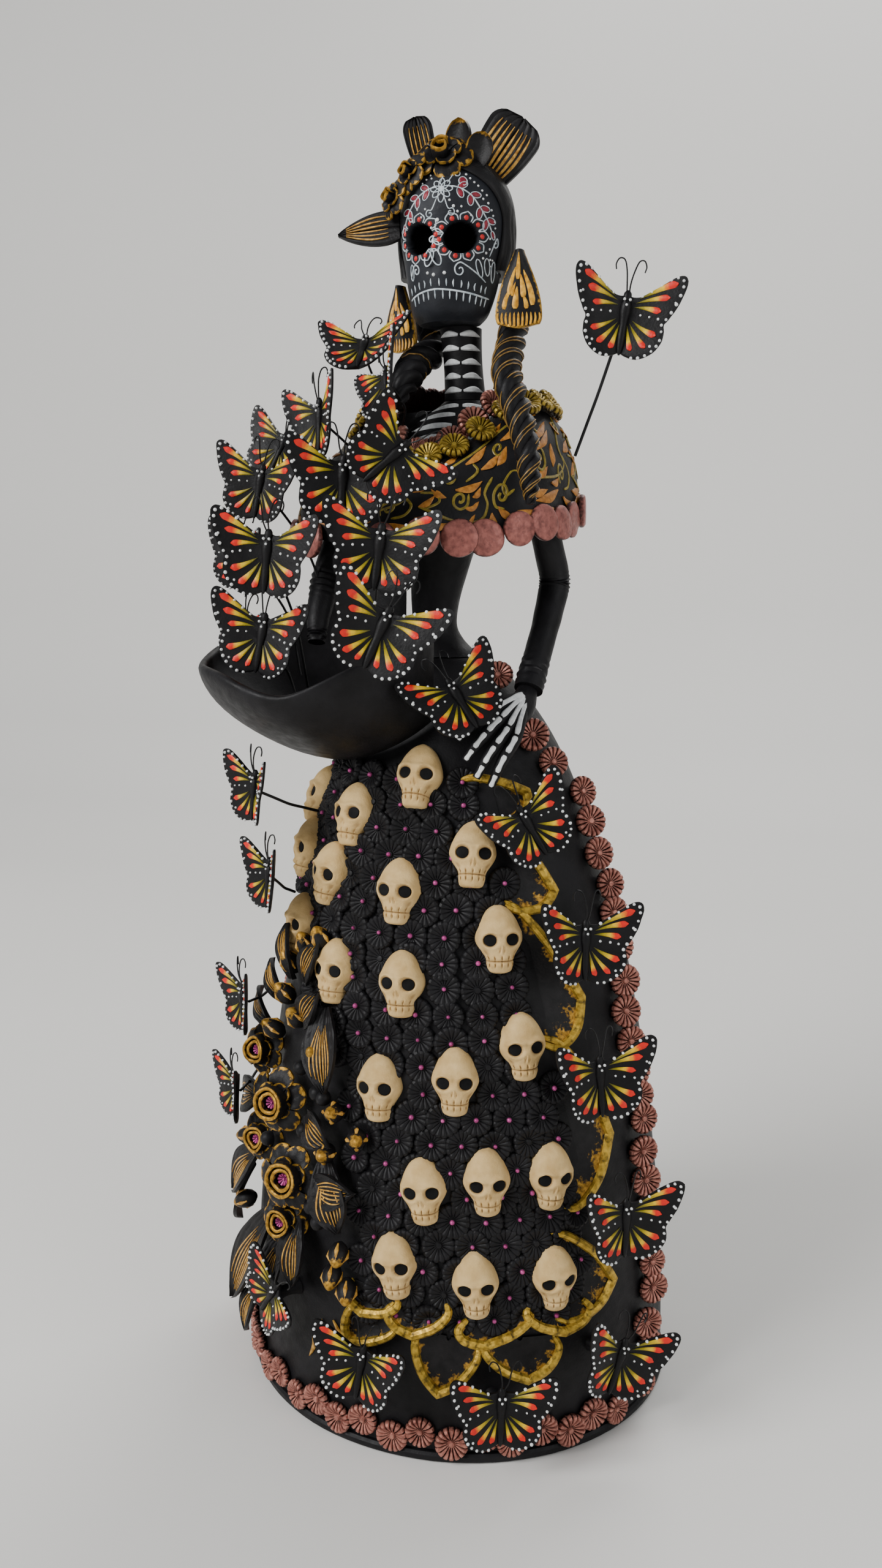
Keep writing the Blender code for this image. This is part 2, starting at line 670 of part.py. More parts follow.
def braids():
    braid("braid_right",
          [(0.0185, 0.0110, 0.4460), (0.0200, 0.0080, 0.4340), (0.0215, -0.0060, 0.4200),
           (0.0235, -0.0220, 0.4080), (0.0290, -0.0320, 0.3960), (0.0345, -0.0390, 0.3820),
           (0.0370, -0.0420, 0.3680), (0.0375, -0.0430, 0.3590)],
          [0.0045, 0.0055, 0.0056, 0.0056, 0.0054, 0.0048, 0.0038, 0.0018])
    braid("braid_left",
          [(-0.0205, 0.0190, 0.4440), (-0.0185, 0.0170, 0.4340), (-0.0132, 0.0096, 0.4225),
           (-0.0150, -0.0100, 0.4140), (-0.0145, -0.0240, 0.4060), (-0.0150, -0.0325, 0.3960)],
          [0.0045, 0.0058, 0.0060, 0.0062, 0.0056, 0.0022])


def earring(name, top, drop, face, half_top, half_bottom):
    """A folded wing shape that hangs from a place, widening downwards."""
    turn = Matrix.Rotation(math.radians(face), 3, "Z")
    rings = []
    for share, half, depth in ((0.0, half_top, 0.0012), (0.35, half_top * 1.9, 0.0020),
                               (0.85, half_bottom, 0.0026), (1.0, half_bottom * 0.8, 0.0018)):
        centre = Vector(top) + Vector((0, 0, -drop * share))
        rings.append([
            centre + turn @ Vector((half * math.sin(a), -depth * math.cos(a), 0))
            for a in (math.tau * i / 10 for i in range(10))
        ])
    loft(name, rings, gold_paint())


def leaf(name, base, tip, normal, half_width, thickness, widest=0.55, cup=0.10):
    """A cupped leaf plate from a base to a tip."""
    base = Vector(base)
    tip = Vector(tip)
    along = tip - base
    normal = Vector(normal)
    across = along.cross(normal).normalized()
    normal = across.cross(along).normalized()
    front = []
    back = []
    for k in range(9):
        share = k / 8
        if share < widest:
            width = 0.30 + 0.70 * math.sin(math.pi / 2 * share / widest)
        else:
            width = math.cos(math.pi / 2 * (share - widest) / (1.0 - widest)) ** 0.8
        width = max(width, 0.06) * half_width
        centre = base + along * share
        line = []
        for i in (-1.0, -0.5, 0.0, 0.5, 1.0):
            line.append(centre + across * width * i + normal * (cup * half_width * 2 * i * i))
        front.append([p + normal * thickness / 2 for p in line])
        back.append([p - normal * thickness / 2 for p in line])
    return sheet(name, front, back, black_clay(), smooth=30)


def crown():
    big = leaf("crown_leaf_right", (0.0040, 0.0020, 0.4790), (0.0225, 0.0060, 0.5035), (0.2, -0.97, 0.1),
               0.0100, 0.0026, 0.66)
    wing = leaf("crown_wing_left", (-0.0115, -0.0045, 0.4830), (-0.0155, -0.0075, 0.5030),
                (0.1, -0.97, 0.1), 0.0068, 0.0024, 0.5)
    leaf("crown_leaf_left", (-0.0262, -0.0090, 0.4640), (-0.0450, -0.0115, 0.4620), (-0.1, -0.95, 0.25),
         0.0066, 0.0024, 0.35)
    blooms = []
    for k, (place, radius) in enumerate((((-0.0050, -0.0180, 0.4885), 0.0088),
                                         ((-0.0135, -0.0190, 0.4805), 0.0088),
                                         ((-0.0215, -0.0180, 0.4735), 0.0076))):
        rings = []
        for i in range(1, 6):
            lift = -math.cos(math.pi * i / 6)
            rings.append(ellipse_ring(place[0], place[1], radius * math.sin(math.pi * i / 6),
                                      radius * math.sin(math.pi * i / 6),
                                      place[2] + radius * 0.8 * lift, 10))
        blooms.append(loft("crown_roses" if k == 0 else "crown_bloom_%d" % k, rings, black_clay()))
    for bloom in blooms[1:]:
        boolean(blooms[0], bloom, "UNION")
    for number, item in enumerate((blooms[0], big, wing)):
        seat = head_body("crown_seat_%d" % (number + 1), 0.0030 + GAP, black_clay())
        boolean(item, seat, "DIFFERENCE")


# ---------------------------------------------------------------- butterflies
def facing_matrix(place, azimuth, elevation, roll):
    """Frame of a butterfly: x to the viewer's right, y to its head, z out of its painted side."""
    a = math.radians(azimuth)
    e = math.radians(elevation)
    r = math.radians(roll)
    out = Vector((math.sin(a) * math.cos(e), -math.cos(a) * math.cos(e), math.sin(e)))
    up = (Vector((0, 0, 1)) - out * out.z).normalized()
    right = up.cross(out)
    head = up * math.cos(r) + right * math.sin(r)
    side = right * math.cos(r) - up * math.sin(r)
    turned = Matrix((side, head, out)).transposed().to_4x4()
    turned.translation = Vector(place)
    return turned


def butterfly_points(span, drop):
    """Grid of points over the wings: three lines, left edge, body, right edge."""
    rows = []
    for (x, y), middle in zip(WING_OUTLINE, BODY_LINE):
        x *= span
        z = x * math.tan(WING_FOLD) - drop
        thin = 0.0 if drop == 0 else BODY_DEPTH - WING_THICK
        rows.append([
            Vector((-x, y * span, z)),
            Vector((0.0, middle * span, -drop - thin)),
            Vector((x, y * span, z)),
        ])
    return rows


def butterfly(name, place, azimuth, elevation, roll, span, root=None):
    front = butterfly_points(span, 0.0)
    back = butterfly_points(span, WING_THICK)
    made = butterfly_solid("butterfly_" + name, front, back)
    pose = facing_matrix(place, azimuth, elevation, roll)
    if root is not None:
        holder = bpy.data.objects.new("joint_" + name, None)
        bpy.context.collection.objects.link(holder)
        holder.location = Vector(root)
        made.parent = holder
        pose.translation -= Vector(root)
    made.matrix_local = pose
    return made


def butterfly_solid(name, front, back):
    """The wings and body as one plate; head and tail are single points on the middle line."""
    rows = len(front)
    points = []
    index = {}
    for layer, grid in enumerate((front, back)):
        for r in range(rows):
            ends = (1,) if r in (0, rows - 1) else (0, 1, 2)
            for c in ends:
                index[layer, r, c] = len(points)
                points.append(grid[r][c])
            if r in (0, rows - 1):
                index[layer, r, 0] = index[layer, r, 1]
                index[layer, r, 2] = index[layer, r, 1]
    faces = []
    for layer in (0, 1):
        for r in range(rows - 1):
            for c in (0, 1):
                corners = [index[layer, r, c], index[layer, r, c + 1],
                           index[layer, r + 1, c + 1], index[layer, r + 1, c]]
                face = list(dict.fromkeys(corners))
                faces.append(face if layer == 0 else face[::-1])
    for r in range(rows - 1):
        for c in (0, 2):
            faces.append([index[0, r, c], index[0, r + 1, c], index[1, r + 1, c], index[1, r, c]])
    return solid(name, points, faces, wing_paint(), 30.0)


def wire(name, root, place, azimuth, elevation):
    """A spring wire from its root to just behind a butterfly's body."""
    out = facing_matrix(place, azimuth, elevation, 0.0).col[2].to_3d()
    end = Vector(place) - out * (BODY_DEPTH + 0.0012)
    root = Vector(root)
    middle = (root + end) / 2 + Vector((0, 0, -0.0010))
    tube("wire_" + name, [root, root.lerp(middle, 0.5), middle, middle.lerp(end, 0.5), end],
         [WIRE_RADIUS] * 5, wire_steel(), 6)


def butterflies():
    for name, place, azimuth, elevation, roll, span in BUTTERFLIES:
        butterfly(name, place, azimuth, elevation, roll, span)
    for name, place, azimuth, elevation, roll, span, root in WIRED:
        butterfly(name, place, azimuth, elevation, roll, span, root)
        wire(name, root, place, azimuth, elevation)


def main():
    clear_scene()
    base_plate()
    skirt_shell()
    torso()
    neck()
    ruffle()
    ruffle_discs()
    neckline_bands()
    right_sleeve()
    right_hand()
    left_arm()
    pouch()
    rosette_panel()
    petal_border()
    rosette_band()
    bouquet()
    skull_head()
    hair()
    braids()
    earring("earring_right", (0.0250, -0.0090, 0.4500), 0.0240, 10, 0.0018, 0.0080)
    earring("earring_left", (-0.0248, 0.0002, 0.4430), 0.0220, -10, 0.0018, 0.0064)
    crown()
    butterflies()


main()
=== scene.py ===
"""Looks of a hand-modelled clay lady with a painted skull face, a rosette skirt and monarch butterflies.

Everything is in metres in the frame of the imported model. An azimuth is in degrees about Z: 0 faces -Y,
the front, and 90 faces +X. A surface is a function of (azimuth or share, height or share, lift).
"""
import math
import random

import bmesh
import bpy
from mathutils import Matrix, Vector, noise


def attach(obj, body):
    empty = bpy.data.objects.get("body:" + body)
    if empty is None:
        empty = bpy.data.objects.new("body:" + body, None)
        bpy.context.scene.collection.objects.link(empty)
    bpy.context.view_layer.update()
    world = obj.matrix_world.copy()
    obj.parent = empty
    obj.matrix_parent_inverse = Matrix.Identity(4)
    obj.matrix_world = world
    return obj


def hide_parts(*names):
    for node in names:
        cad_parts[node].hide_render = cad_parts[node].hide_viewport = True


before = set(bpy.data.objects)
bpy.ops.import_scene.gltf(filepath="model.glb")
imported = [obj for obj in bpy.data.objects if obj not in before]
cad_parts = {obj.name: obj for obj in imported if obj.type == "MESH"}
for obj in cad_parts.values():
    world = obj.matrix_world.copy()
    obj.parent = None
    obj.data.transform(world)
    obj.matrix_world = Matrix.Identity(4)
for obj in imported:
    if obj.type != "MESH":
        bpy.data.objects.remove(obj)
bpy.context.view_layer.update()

GAP = 0.0003
BASE_X = 0.0905
BASE_Y = 0.0825
BASE_THICK = 0.0040
SKIRT_X = 0.0895
SKIRT_Y = 0.0810
SKIRT_APEX = 0.3060
SKIRT_TOP = 0.3015
SKIRT_POWER = 1.85
SKIRT_LEAN = 0.0040
NECK_FOOT = 0.4008
NECK_TOP = 0.4280
CHIN_Z = 0.4285
CROWN_Z = 0.4875
HEAD_X = -0.0025
HEAD_TURN = -3.0
SHEET = 0.0022
WING_THICK = 0.0016
ANTENNA_RADIUS = 0.00028
SPRING_RADIUS = 0.0006
CASCADE_WIRE_RADIUS = 0.0005
STROKE = 0.00021  # half the width of a thin brush line on the face
PETAL_STRIPES = 11
WING_SLOPE = math.tan(math.radians(17.0))


# ---------------------------------------------------------------- materials
def shade(red, green, blue):
    """A colour given in 0 to 255 screen values, as the shader's linear numbers."""
    linear = []
    for value in (red, green, blue):
        share = value / 255.0
        linear.append(share / 12.92 if share <= 0.04045 else ((share + 0.055) / 1.055) ** 2.4)
    return (*linear, 1.0)


class Look:
    """A node material under construction, with patterns sized in metres."""

    def __init__(self, name, roughness, metallic=0.0, specular=0.4):
        self.material = bpy.data.materials.new(name)
        self.material.use_nodes = True
        self.tree = self.material.node_tree
        self.shader = self.tree.nodes["Principled BSDF"]
        self.shader.inputs["Roughness"].default_value = roughness
        self.shader.inputs["Metallic"].default_value = metallic
        self.shader.inputs["Specular IOR Level"].default_value = specular
        self.place = self.tree.nodes.new("ShaderNodeTexCoord").outputs["Object"]
        self.height = None

    def link(self, source, target):
        self.tree.links.new(source, target)

    def noise(self, size, detail=4.0, stretch=(1.0, 1.0, 1.0)):
        """Cloudy values between 0 and 1, with features about as large as size."""
        mapping = self.tree.nodes.new("ShaderNodeMapping")
        mapping.inputs["Scale"].default_value = stretch
        self.link(self.place, mapping.inputs["Vector"])
        clouds = self.tree.nodes.new("ShaderNodeTexNoise")
        clouds.inputs["Scale"].default_value = 1.0 / size
        clouds.inputs["Detail"].default_value = detail
        self.link(mapping.outputs["Vector"], clouds.inputs["Vector"])
        return clouds.outputs["Fac"]

    def tint(self):
        """The number that each point of the mesh carries."""
        reader = self.tree.nodes.new("ShaderNodeAttribute")
        reader.attribute_name = "tint"
        return reader.outputs["Fac"]

    def maths(self, operation, first, second):
        node = self.tree.nodes.new("ShaderNodeMath")
        node.operation = operation
        for socket, value in zip(node.inputs, (first, second)):
            if isinstance(value, (int, float)):
                socket.default_value = value
            else:
                self.link(value, socket)
        return node.outputs["Value"]

    def ramp(self, value, stops):
        """Colours or grey values along a value between 0 and 1."""
        node = self.tree.nodes.new("ShaderNodeValToRGB")
        line = node.color_ramp.elements
        while len(line) < len(stops):
            line.new(0.5)
        for element, (position, colour) in zip(line, stops):
            element.position = position
            element.color = colour if isinstance(colour, tuple) else (colour, colour, colour, 1.0)
        self.link(value, node.inputs["Fac"])
        return node.outputs["Color"]

    def mix(self, share, first, second):
        node = self.tree.nodes.new("ShaderNodeMix")
        node.data_type = "RGBA"
        self.link(share, node.inputs["Factor"])
        self.link(first, node.inputs["A"])
        self.link(second, node.inputs["B"])
        return node.outputs["Result"]

    def colour(self, source):
        self.link(source, self.shader.inputs["Base Color"])

    def rough(self, value, low, high):
        self.link(self.ramp(value, [(0.3, low), (0.7, high)]), self.shader.inputs["Roughness"])

    def bump(self, value, height):
        """Raises the surface by up to height, on top of earlier bumps."""
        node = self.tree.nodes.new("ShaderNodeBump")
        node.inputs["Distance"].default_value = height
        node.inputs["Strength"].default_value = 1.0
        self.link(value, node.inputs["Height"])
        if self.height is not None:
            self.link(self.height, node.inputs["Normal"])
        self.height = node.outputs["Normal"]
        self.link(self.height, self.shader.inputs["Normal"])


def clay_look(name, dark, light, roughness, painted_socket_shade=False):
    """Matte painted clay with finger waves; the flag paints shade pitch black, without sheen, where the
    tint is 1.
    """
    look = Look(name, roughness, specular=0.18)
    clouds = look.noise(0.012)
    tone = look.ramp(clouds, [(0.3, shade(*dark)), (0.7, shade(*light))])
    if painted_socket_shade:
        # Painted shade: near-black is mixed in and the sheen taken away where the tint is high, for the
        # shadow in the eye sockets.
        deep = look.ramp(clouds, [(0.3, shade(2, 2, 2)), (0.7, shade(4, 4, 4))])
        look.link(look.ramp(look.tint(), [(0.2, 0.18), (0.6, 0.0)]),
                  look.shader.inputs["Specular IOR Level"])
        tone = look.mix(look.ramp(look.tint(), [(0.2, 0.0), (0.8, 1.0)]), tone, deep)
    look.colour(tone)
    look.rough(look.noise(0.004), roughness - 0.07, roughness + 0.09)
    look.bump(look.noise(0.010, 2.0), 0.00035)
    look.bump(look.noise(0.0009, 5.0), 0.00010)
    return look.material


def bisque_look():
    """Bare biscuit clay, with painted shade that makes it darker in the hollows (tint 1)."""
    look = Look("bare_bisque_clay", 0.8, specular=0.25)
    tone = look.ramp(look.noise(0.005), [(0.25, shade(188, 154, 98)), (0.75, shade(218, 186, 130))])
    # Painted shade: a dark brown is mixed in where the carving is deep (tint high).
    hollow = look.ramp(look.noise(0.002), [(0.3, shade(104, 74, 40)), (0.7, shade(140, 104, 62))])
    look.colour(look.mix(look.ramp(look.tint(), [(0.1, 0.0), (1.0, 1.0)]), tone, hollow))
    look.bump(look.noise(0.0022, 6.0), 0.00030)
    look.bump(look.noise(0.0005, 3.0), 0.00010)
    return look.material


def paint_look(name, dark, light, roughness=0.5):
    """Brushed paint with thin and thick places and faint bristle lines."""
    look = Look(name, roughness)
    look.colour(look.ramp(look.noise(0.0016), [(0.3, shade(*dark)), (0.65, shade(*light))]))
    look.bump(look.noise(0.0005, 3.0, (1.0, 1.0, 0.35)), 0.00008)
    return look.material


def wing_look():
    """Paint of a wing cell: olive at the root, yellow, then orange-red at the outer end (tint 0 to 1)."""
    look = Look("wing_cell_paint", 0.48)
    shift = look.maths("MULTIPLY", look.maths("SUBTRACT", look.noise(0.0012), 0.5), 0.22)
    along = look.maths("ADD", look.tint(), shift)
    look.colour(look.ramp(along, [(0.05, shade(74, 72, 6)), (0.26, shade(138, 124, 2)),
                                  (0.50, shade(224, 184, 0)), (0.61, shade(224, 96, 4)),
                                  (0.68, shade(206, 20, 2)), (1.0, shade(218, 28, 6))]))
    look.bump(look.noise(0.0005, 3.0), 0.00008)
    return look.material


def metal_look(name, dark, light, hollow, metallic, wear=0.0):
    """Metallic paint over clay: bright on the heights (tint 1), painted shade in the grooves (tint 0),
    worn.
    """
    look = Look(name, 0.42, metallic)
    clouds = look.noise(0.0022, 6.0)
    bright = look.ramp(clouds, [(0.3, shade(*dark)), (0.68, shade(*light))])
    # The dark colour is painted shade in the grooves and low places, and also the dark showing through
    # where the noise spots and the wear number wear the paint.
    deep = look.ramp(clouds, [(0.3, shade(*hollow)), (0.7, shade(*[v * 1.3 for v in hollow]))])
    spots = look.maths("MULTIPLY", look.maths("SUBTRACT", look.noise(0.0014, 6.0), 0.5), 1.2)
    share = look.maths("SUBTRACT", look.maths("ADD", look.tint(), spots), wear)
    look.colour(look.mix(look.ramp(share, [(0.15, 0.0), (0.6, 1.0)]), deep, bright))
    look.rough(look.noise(0.0012), 0.34, 0.58)
    look.bump(look.noise(0.0010, 6.0), 0.00016)
    return look.material


def gilded_look():
    """Black clay with gold brushed on where the tint is high."""
    look = Look("gilded_clay", 0.5, specular=0.22)
    clouds = look.noise(0.003)
    clay = look.ramp(clouds, [(0.3, shade(14, 13, 14)), (0.7, shade(27, 25, 26))])
    gold = look.ramp(look.noise(0.0015, 6.0), [(0.3, shade(112, 78, 20)), (0.7, shade(204, 156, 62))])
    grain = look.maths("MULTIPLY", look.maths("SUBTRACT", look.noise(0.0013, 5.0), 0.5), 0.9)
    share = look.ramp(look.maths("ADD", look.tint(), grain), [(0.42, 0.0), (0.60, 1.0)])
    look.colour(look.mix(share, clay, gold))
    look.link(look.ramp(share, [(0.0, 0.0), (1.0, 0.55)]), look.shader.inputs["Metallic"])
    look.bump(look.noise(0.0009, 5.0), 0.00012)
    return look.material


def stage_look():
    look = Look("pale_stage", 0.9, specular=0.1)
    look.colour(look.ramp(look.noise(0.8, 1.0), [(0.3, shade(222, 220, 216)), (0.7, shade(228, 226, 222))]))
    return look.material


CLAY = clay_look("black_clay_paint", (15, 14, 15), (27, 26, 28), 0.50)
WING = clay_look("butterfly_black", (12, 11, 12), (23, 22, 23), 0.48)
FACE = clay_look("face_black", (25, 26, 30), (38, 40, 45), 0.52, True)
HAIR = clay_look("hair_black", (16, 15, 16), (29, 28, 29), 0.46)
VOID = clay_look("deep_black", (6, 6, 7), (12, 12, 13), 0.75)
BISQUE = bisque_look()
WHITE = paint_look("white_paint", (204, 206, 206), (236, 238, 237), 0.45)
LINE = paint_look("face_line_paint", (150, 164, 172), (214, 222, 226), 0.5)
RED = paint_look("red_paint", (156, 20, 22), (206, 40, 34), 0.45)
WINE = paint_look("wine_paint", (98, 14, 32), (142, 28, 46), 0.5)
OCHRE = paint_look("ochre_paint", (140, 84, 20), (190, 126, 46), 0.5)
OLIVE = paint_look("olive_gold_paint", (98, 84, 16), (146, 126, 38), 0.45)
LEAFGOLD = paint_look("gold_brush_paint", (142, 94, 24), (214, 164, 74), 0.42)
EARGOLD = paint_look("bright_gold_paint", (176, 116, 18), (240, 180, 56), 0.40)
BRAIDGOLD = paint_look("thin_gold_paint", (88, 64, 22), (158, 120, 54), 0.45)
CELL = wing_look()
COPPER = metal_look("copper_rosette_paint", (126, 72, 62), (198, 136, 120), (36, 18, 16), 0.55)
GOLD = metal_look("gold_rosette_paint", (112, 90, 20), (178, 150, 58), (34, 26, 8), 0.65)
RIMGOLD = metal_look("gold_rim_paint", (140, 108, 24), (216, 178, 70), (26, 22, 12), 0.6, 0.10)
PINK = metal_look("pink_disc_paint", (120, 68, 62), (170, 104, 94), (40, 22, 21), 0.30, 0.26)
BEAD = metal_look("pink_bead_paint", (120, 34, 84), (196, 84, 150), (56, 16, 40), 0.4)
GILDED = gilded_look()
WIRE = clay_look("wire_black", (16, 16, 17), (28, 28, 29), 0.36)


# ---------------------------------------------------------------- curves and surfaces
def clamp(value):
    return min(max(value, 0.0), 1.0)


def ease(share):
    """A share between 0 and 1 that leaves both ends slowly."""
    return share * share * (3 - 2 * share)


def angles(count):
    """Angles in radians of equal steps round a circle."""
    return [math.tau * k / count for k in range(count)]


def circle(count, start=0.0):
    """Angles in degrees of equal steps round a circle."""
    return [start + 360.0 * k / count for k in range(count)]


def turned(degrees, axis):
    return Matrix.Rotation(math.radians(degrees), 4, axis)


def curve(points, per=6):
    """A smooth line through the points, with per steps between two of them."""
    knots = [Vector(p) for p in points]
    if len(knots) < 3:
        return [knots[0].lerp(knots[-1], k / per) for k in range(per + 1)]
    line = []
    for i in range(len(knots) - 1):
        before = knots[i - 1] if i else knots[0] * 2 - knots[1]
        after = knots[i + 2] if i + 2 < len(knots) else knots[-1] * 2 - knots[-2]
        start, end = knots[i], knots[i + 1]
        for k in range(per):
            t = k / per
            line.append(0.5 * (2 * start + (end - before) * t + (2 * before - 5 * start + 4 * end - after)
                               * t * t
                               + (3 * start - 3 * end + after - before) * t ** 3))
    return line + [knots[-1]]


def interpolate(table, value):
    """The row of numbers at a value, between the table's rows, whose first number it is compared with."""
    if value <= table[0][0]:
        return table[0][1:]
    for low, high in zip(table, table[1:]):
        if value <= high[0]:
            share = (value - low[0]) / (high[0] - low[0])
            return tuple(a + (b - a) * share for a, b in zip(low[1:], high[1:]))
    return table[-1][1:]


def curve_rows(table, per=6):
    """The same table with per rows for each given one, on a smooth curve through them."""
    rows = []
    for i in range(len(table) - 1):
        before = table[max(i - 1, 0)]
        after = table[min(i + 2, len(table) - 1)]
        for k in range(per):
            t = k / per
            row = []
            for a, b, c, d in zip(before, table[i], table[i + 1], after):
                row.append(0.5 * (2 * b + (c - a) * t + (2 * a - 5 * b + 4 * c - d) * t * t
                                  + (3 * b - 3 * c + d - a) * t ** 3))
            rows.append(row)
    return rows + [list(table[-1])]


def waver(place, size, amount):
    """A smooth random lift that depends only on the place."""
    return noise.noise(Vector(place) / size) * amount


def normal_of(surface, u, v):
    return (surface(u, v, 0.001) - surface(u, v, 0.0)).normalized()


def seat(surface, u, v, lift=0.0, turn=0.0, tip=0.0):
    """Frame on a surface: x to the right, y up the surface, z out of it."""
    out = normal_of(surface, u, v)
    right = Vector((0, 0, 1)).cross(out)
    right = right.normalized() if right.length > 1e-5 else Vector((1, 0, 0))
    up = out.cross(right)
    base = Matrix((right, up, out)).transposed().to_4x4()
    base = base @ turned(turn, "Z") @ turned(tip, "X")
    base.translation = surface(u, v, lift)
    return base


def skirt(azimuth, z, lift=0.0):
    """Point on the bell skirt at an azimuth and height, lifted along the surface's normal."""
    height = max(z, 0.0) / SKIRT_APEX
    share = math.sqrt(max(1.0 - height ** SKIRT_POWER, 0.0))
    turn = math.radians(azimuth)
    x = SKIRT_X * share * math.sin(turn)
    y = -SKIRT_Y * share * math.cos(turn)
    slope = 0.5 * SKIRT_POWER * height ** (SKIRT_POWER - 1.0) / SKIRT_APEX
    out = Vector((x / SKIRT_X ** 2, y / SKIRT_Y ** 2, slope)).normalized()
    return Vector((x - SKIRT_LEAN * height ** 4, y, z)) + out * lift


TORSO = curve_rows([  # height, centre x and y, half width, half depth
    (0.3018, -0.0062, 0.000, 0.0142, 0.0130),
    (0.3085, -0.0090, 0.000, 0.0102, 0.0100),
    (0.316, -0.0105, 0.000, 0.0090, 0.0090),
    (0.332, -0.0090, 0.000, 0.0110, 0.0105),
    (0.350, -0.0050, 0.000, 0.0135, 0.0135),
    (0.368, -0.0030, 0.000, 0.0205, 0.0175),
    (0.382, -0.0015, 0.000, 0.0240, 0.0185),
    (0.392, 0.0000, 0.001, 0.0185, 0.0135),
    (0.3985, 0.0012, 0.002, 0.0105, 0.0096),
    (0.4005, 0.0015, 0.002, 0.0084, 0.0082),
])


def torso(azimuth, z, lift=0.0):
    centre_x, centre_y, half_x, half_y = interpolate(TORSO, z)
    turn = math.radians(azimuth)
    return Vector((centre_x + (half_x + lift) * math.sin(turn),
                   centre_y - (half_y + lift) * math.cos(turn), z))


def neck(azimuth, z, lift=0.0):
    share = (z - NECK_FOOT) / (NECK_TOP - NECK_FOOT)
    turn = math.radians(azimuth)
    radius = 0.0082 - 0.0006 * math.sin(math.pi * clamp(share)) + lift
    return Vector((0.0015 - 0.0020 * share + radius * math.sin(turn),
                   0.0027 - radius * math.cos(turn), z))


def ruffle(azimuth, share, lift=0.0):
    """Point on the ruffle: share 0 at the torso, 0.25 at the neckline, 1 at the hem."""
    turn = math.radians(azimuth)
    low = max(0.0, math.cos(turn + math.radians(16))) ** 2
    neck_z = 0.3975 - 0.0235 * low
    neck_r = 0.0285 - 0.0020 * math.cos(turn)
    hem_z = 0.3545 - 0.0080 * math.cos(turn + math.radians(20)) + 0.0012 * math.cos(7 * turn)
    bulge = max(0.0, math.cos(turn + math.radians(50))) ** 3
    hem_r = 0.0460 + 0.0190 * bulge + 0.0010 * math.cos(7 * turn)
    if share < 0.25:
        centre_x, centre_y, half_x, half_y = interpolate(TORSO, neck_z)
        inner = Vector((centre_x + (half_x + 0.0019) * math.sin(turn),
                        centre_y - (half_y + 0.0019) * math.cos(turn), neck_z + 0.0008))
        edge = Vector((neck_r * math.sin(turn), -neck_r * math.cos(turn), neck_z))
        return inner.lerp(edge, share / 0.25) + Vector((0, 0, lift))
    bend = math.radians(90) * (share - 0.25) / 0.75
    radius = neck_r + (hem_r - neck_r) * math.sin(bend)
    z = neck_z + (hem_z - neck_z) * (1.0 - math.cos(bend))
    tilt = bend * 0.9
    out = Vector((math.sin(turn) * math.sin(tilt), -math.cos(turn) * math.sin(tilt), math.cos(tilt)))
    return Vector((radius * math.sin(turn), -radius * math.cos(turn), z)) + out * lift


HEAD = curve_rows([  # share of the height, half width, half depth, how far forward
    (0.00, 0.0120, 0.0092, 0.0045),
    (0.06, 0.0147, 0.0128, 0.0040),
    (0.20, 0.0168, 0.0166, 0.0020),
    (0.35, 0.0184, 0.0190, 0.0010),
    (0.50, 0.0202, 0.0205, 0.0000),
    (0.66, 0.0208, 0.0215, 0.0000),
    (0.80, 0.0188, 0.0195, 0.0000),
    (0.91, 0.0135, 0.0145, 0.0000),
    (1.00, 0.0050, 0.0055, 0.0000),
])
HEAD_SPIN = Matrix.Rotation(math.radians(HEAD_TURN), 3, "Z")


def head(azimuth, z, lift=0.0):
    """Point on the skull, with the azimuth counted from the face's middle."""
    share = (z - CHIN_Z) / (CROWN_Z - CHIN_Z)
    half_x, half_y, forward = interpolate(HEAD, share)
    turn = math.radians(azimuth)
    flat = Vector(((half_x + lift) * math.sin(turn), -(half_y + lift) * math.cos(turn) - forward, z))
    rise = lift * clamp((share - 0.72) * 3.0)
    return HEAD_SPIN @ flat + Vector((HEAD_X, 0, rise))


def tube_surface(path, radii, facing, per=6):
    """Surface of a round bar along a path: angle 0 looks towards facing, share 0 to 1 runs along it."""
    line = curve(path, per)
    widths = [row[1] for row in curve_rows([(i, r) for i, r in enumerate(radii)], per)]
    facing = Vector(facing)

    def surface(angle, share, lift=0.0):
        spot = clamp(share) * (len(line) - 1)
        i = min(int(spot), len(line) - 2)
        part = spot - i
        centre = line[i].lerp(line[i + 1], part)
        ahead = (line[min(i + 2, len(line) - 1)] - line[max(i - 1, 0)]).normalized()
        front = (facing - ahead * facing.dot(ahead)).normalized()
        side = ahead.cross(front)
        turn = math.radians(angle)
        radius = widths[i] + (widths[i + 1] - widths[i]) * part + lift
        return centre + (front * math.cos(turn) + side * math.sin(turn)) * radius

    return surface


def plate_surface(base, tip, facing, half_width, widest=0.5, cup=0.0, bow=0.0, point=0.8, foot=0.3):
    """Surface of a leaf or petal: share 0 to 1 from base to tip, side -1 to 1 across it."""
    base = Vector(base)
    along = Vector(tip) - base
    across = along.cross(Vector(facing)).normalized()
    out = across.cross(along).normalized()

    def surface(share, side, lift=0.0):
        if share < widest:
            width = foot + (1.0 - foot) * math.sin(math.pi / 2 * share / widest)
        else:
            width = math.cos(math.pi / 2 * (share - widest) / (1.0 - widest)) ** point
        width = max(width, 0.05) * half_width
        height = cup * half_width * side * side + bow * math.sin(math.pi * share) + lift
        return base + along * share + across * width * side + out * height

    return surface


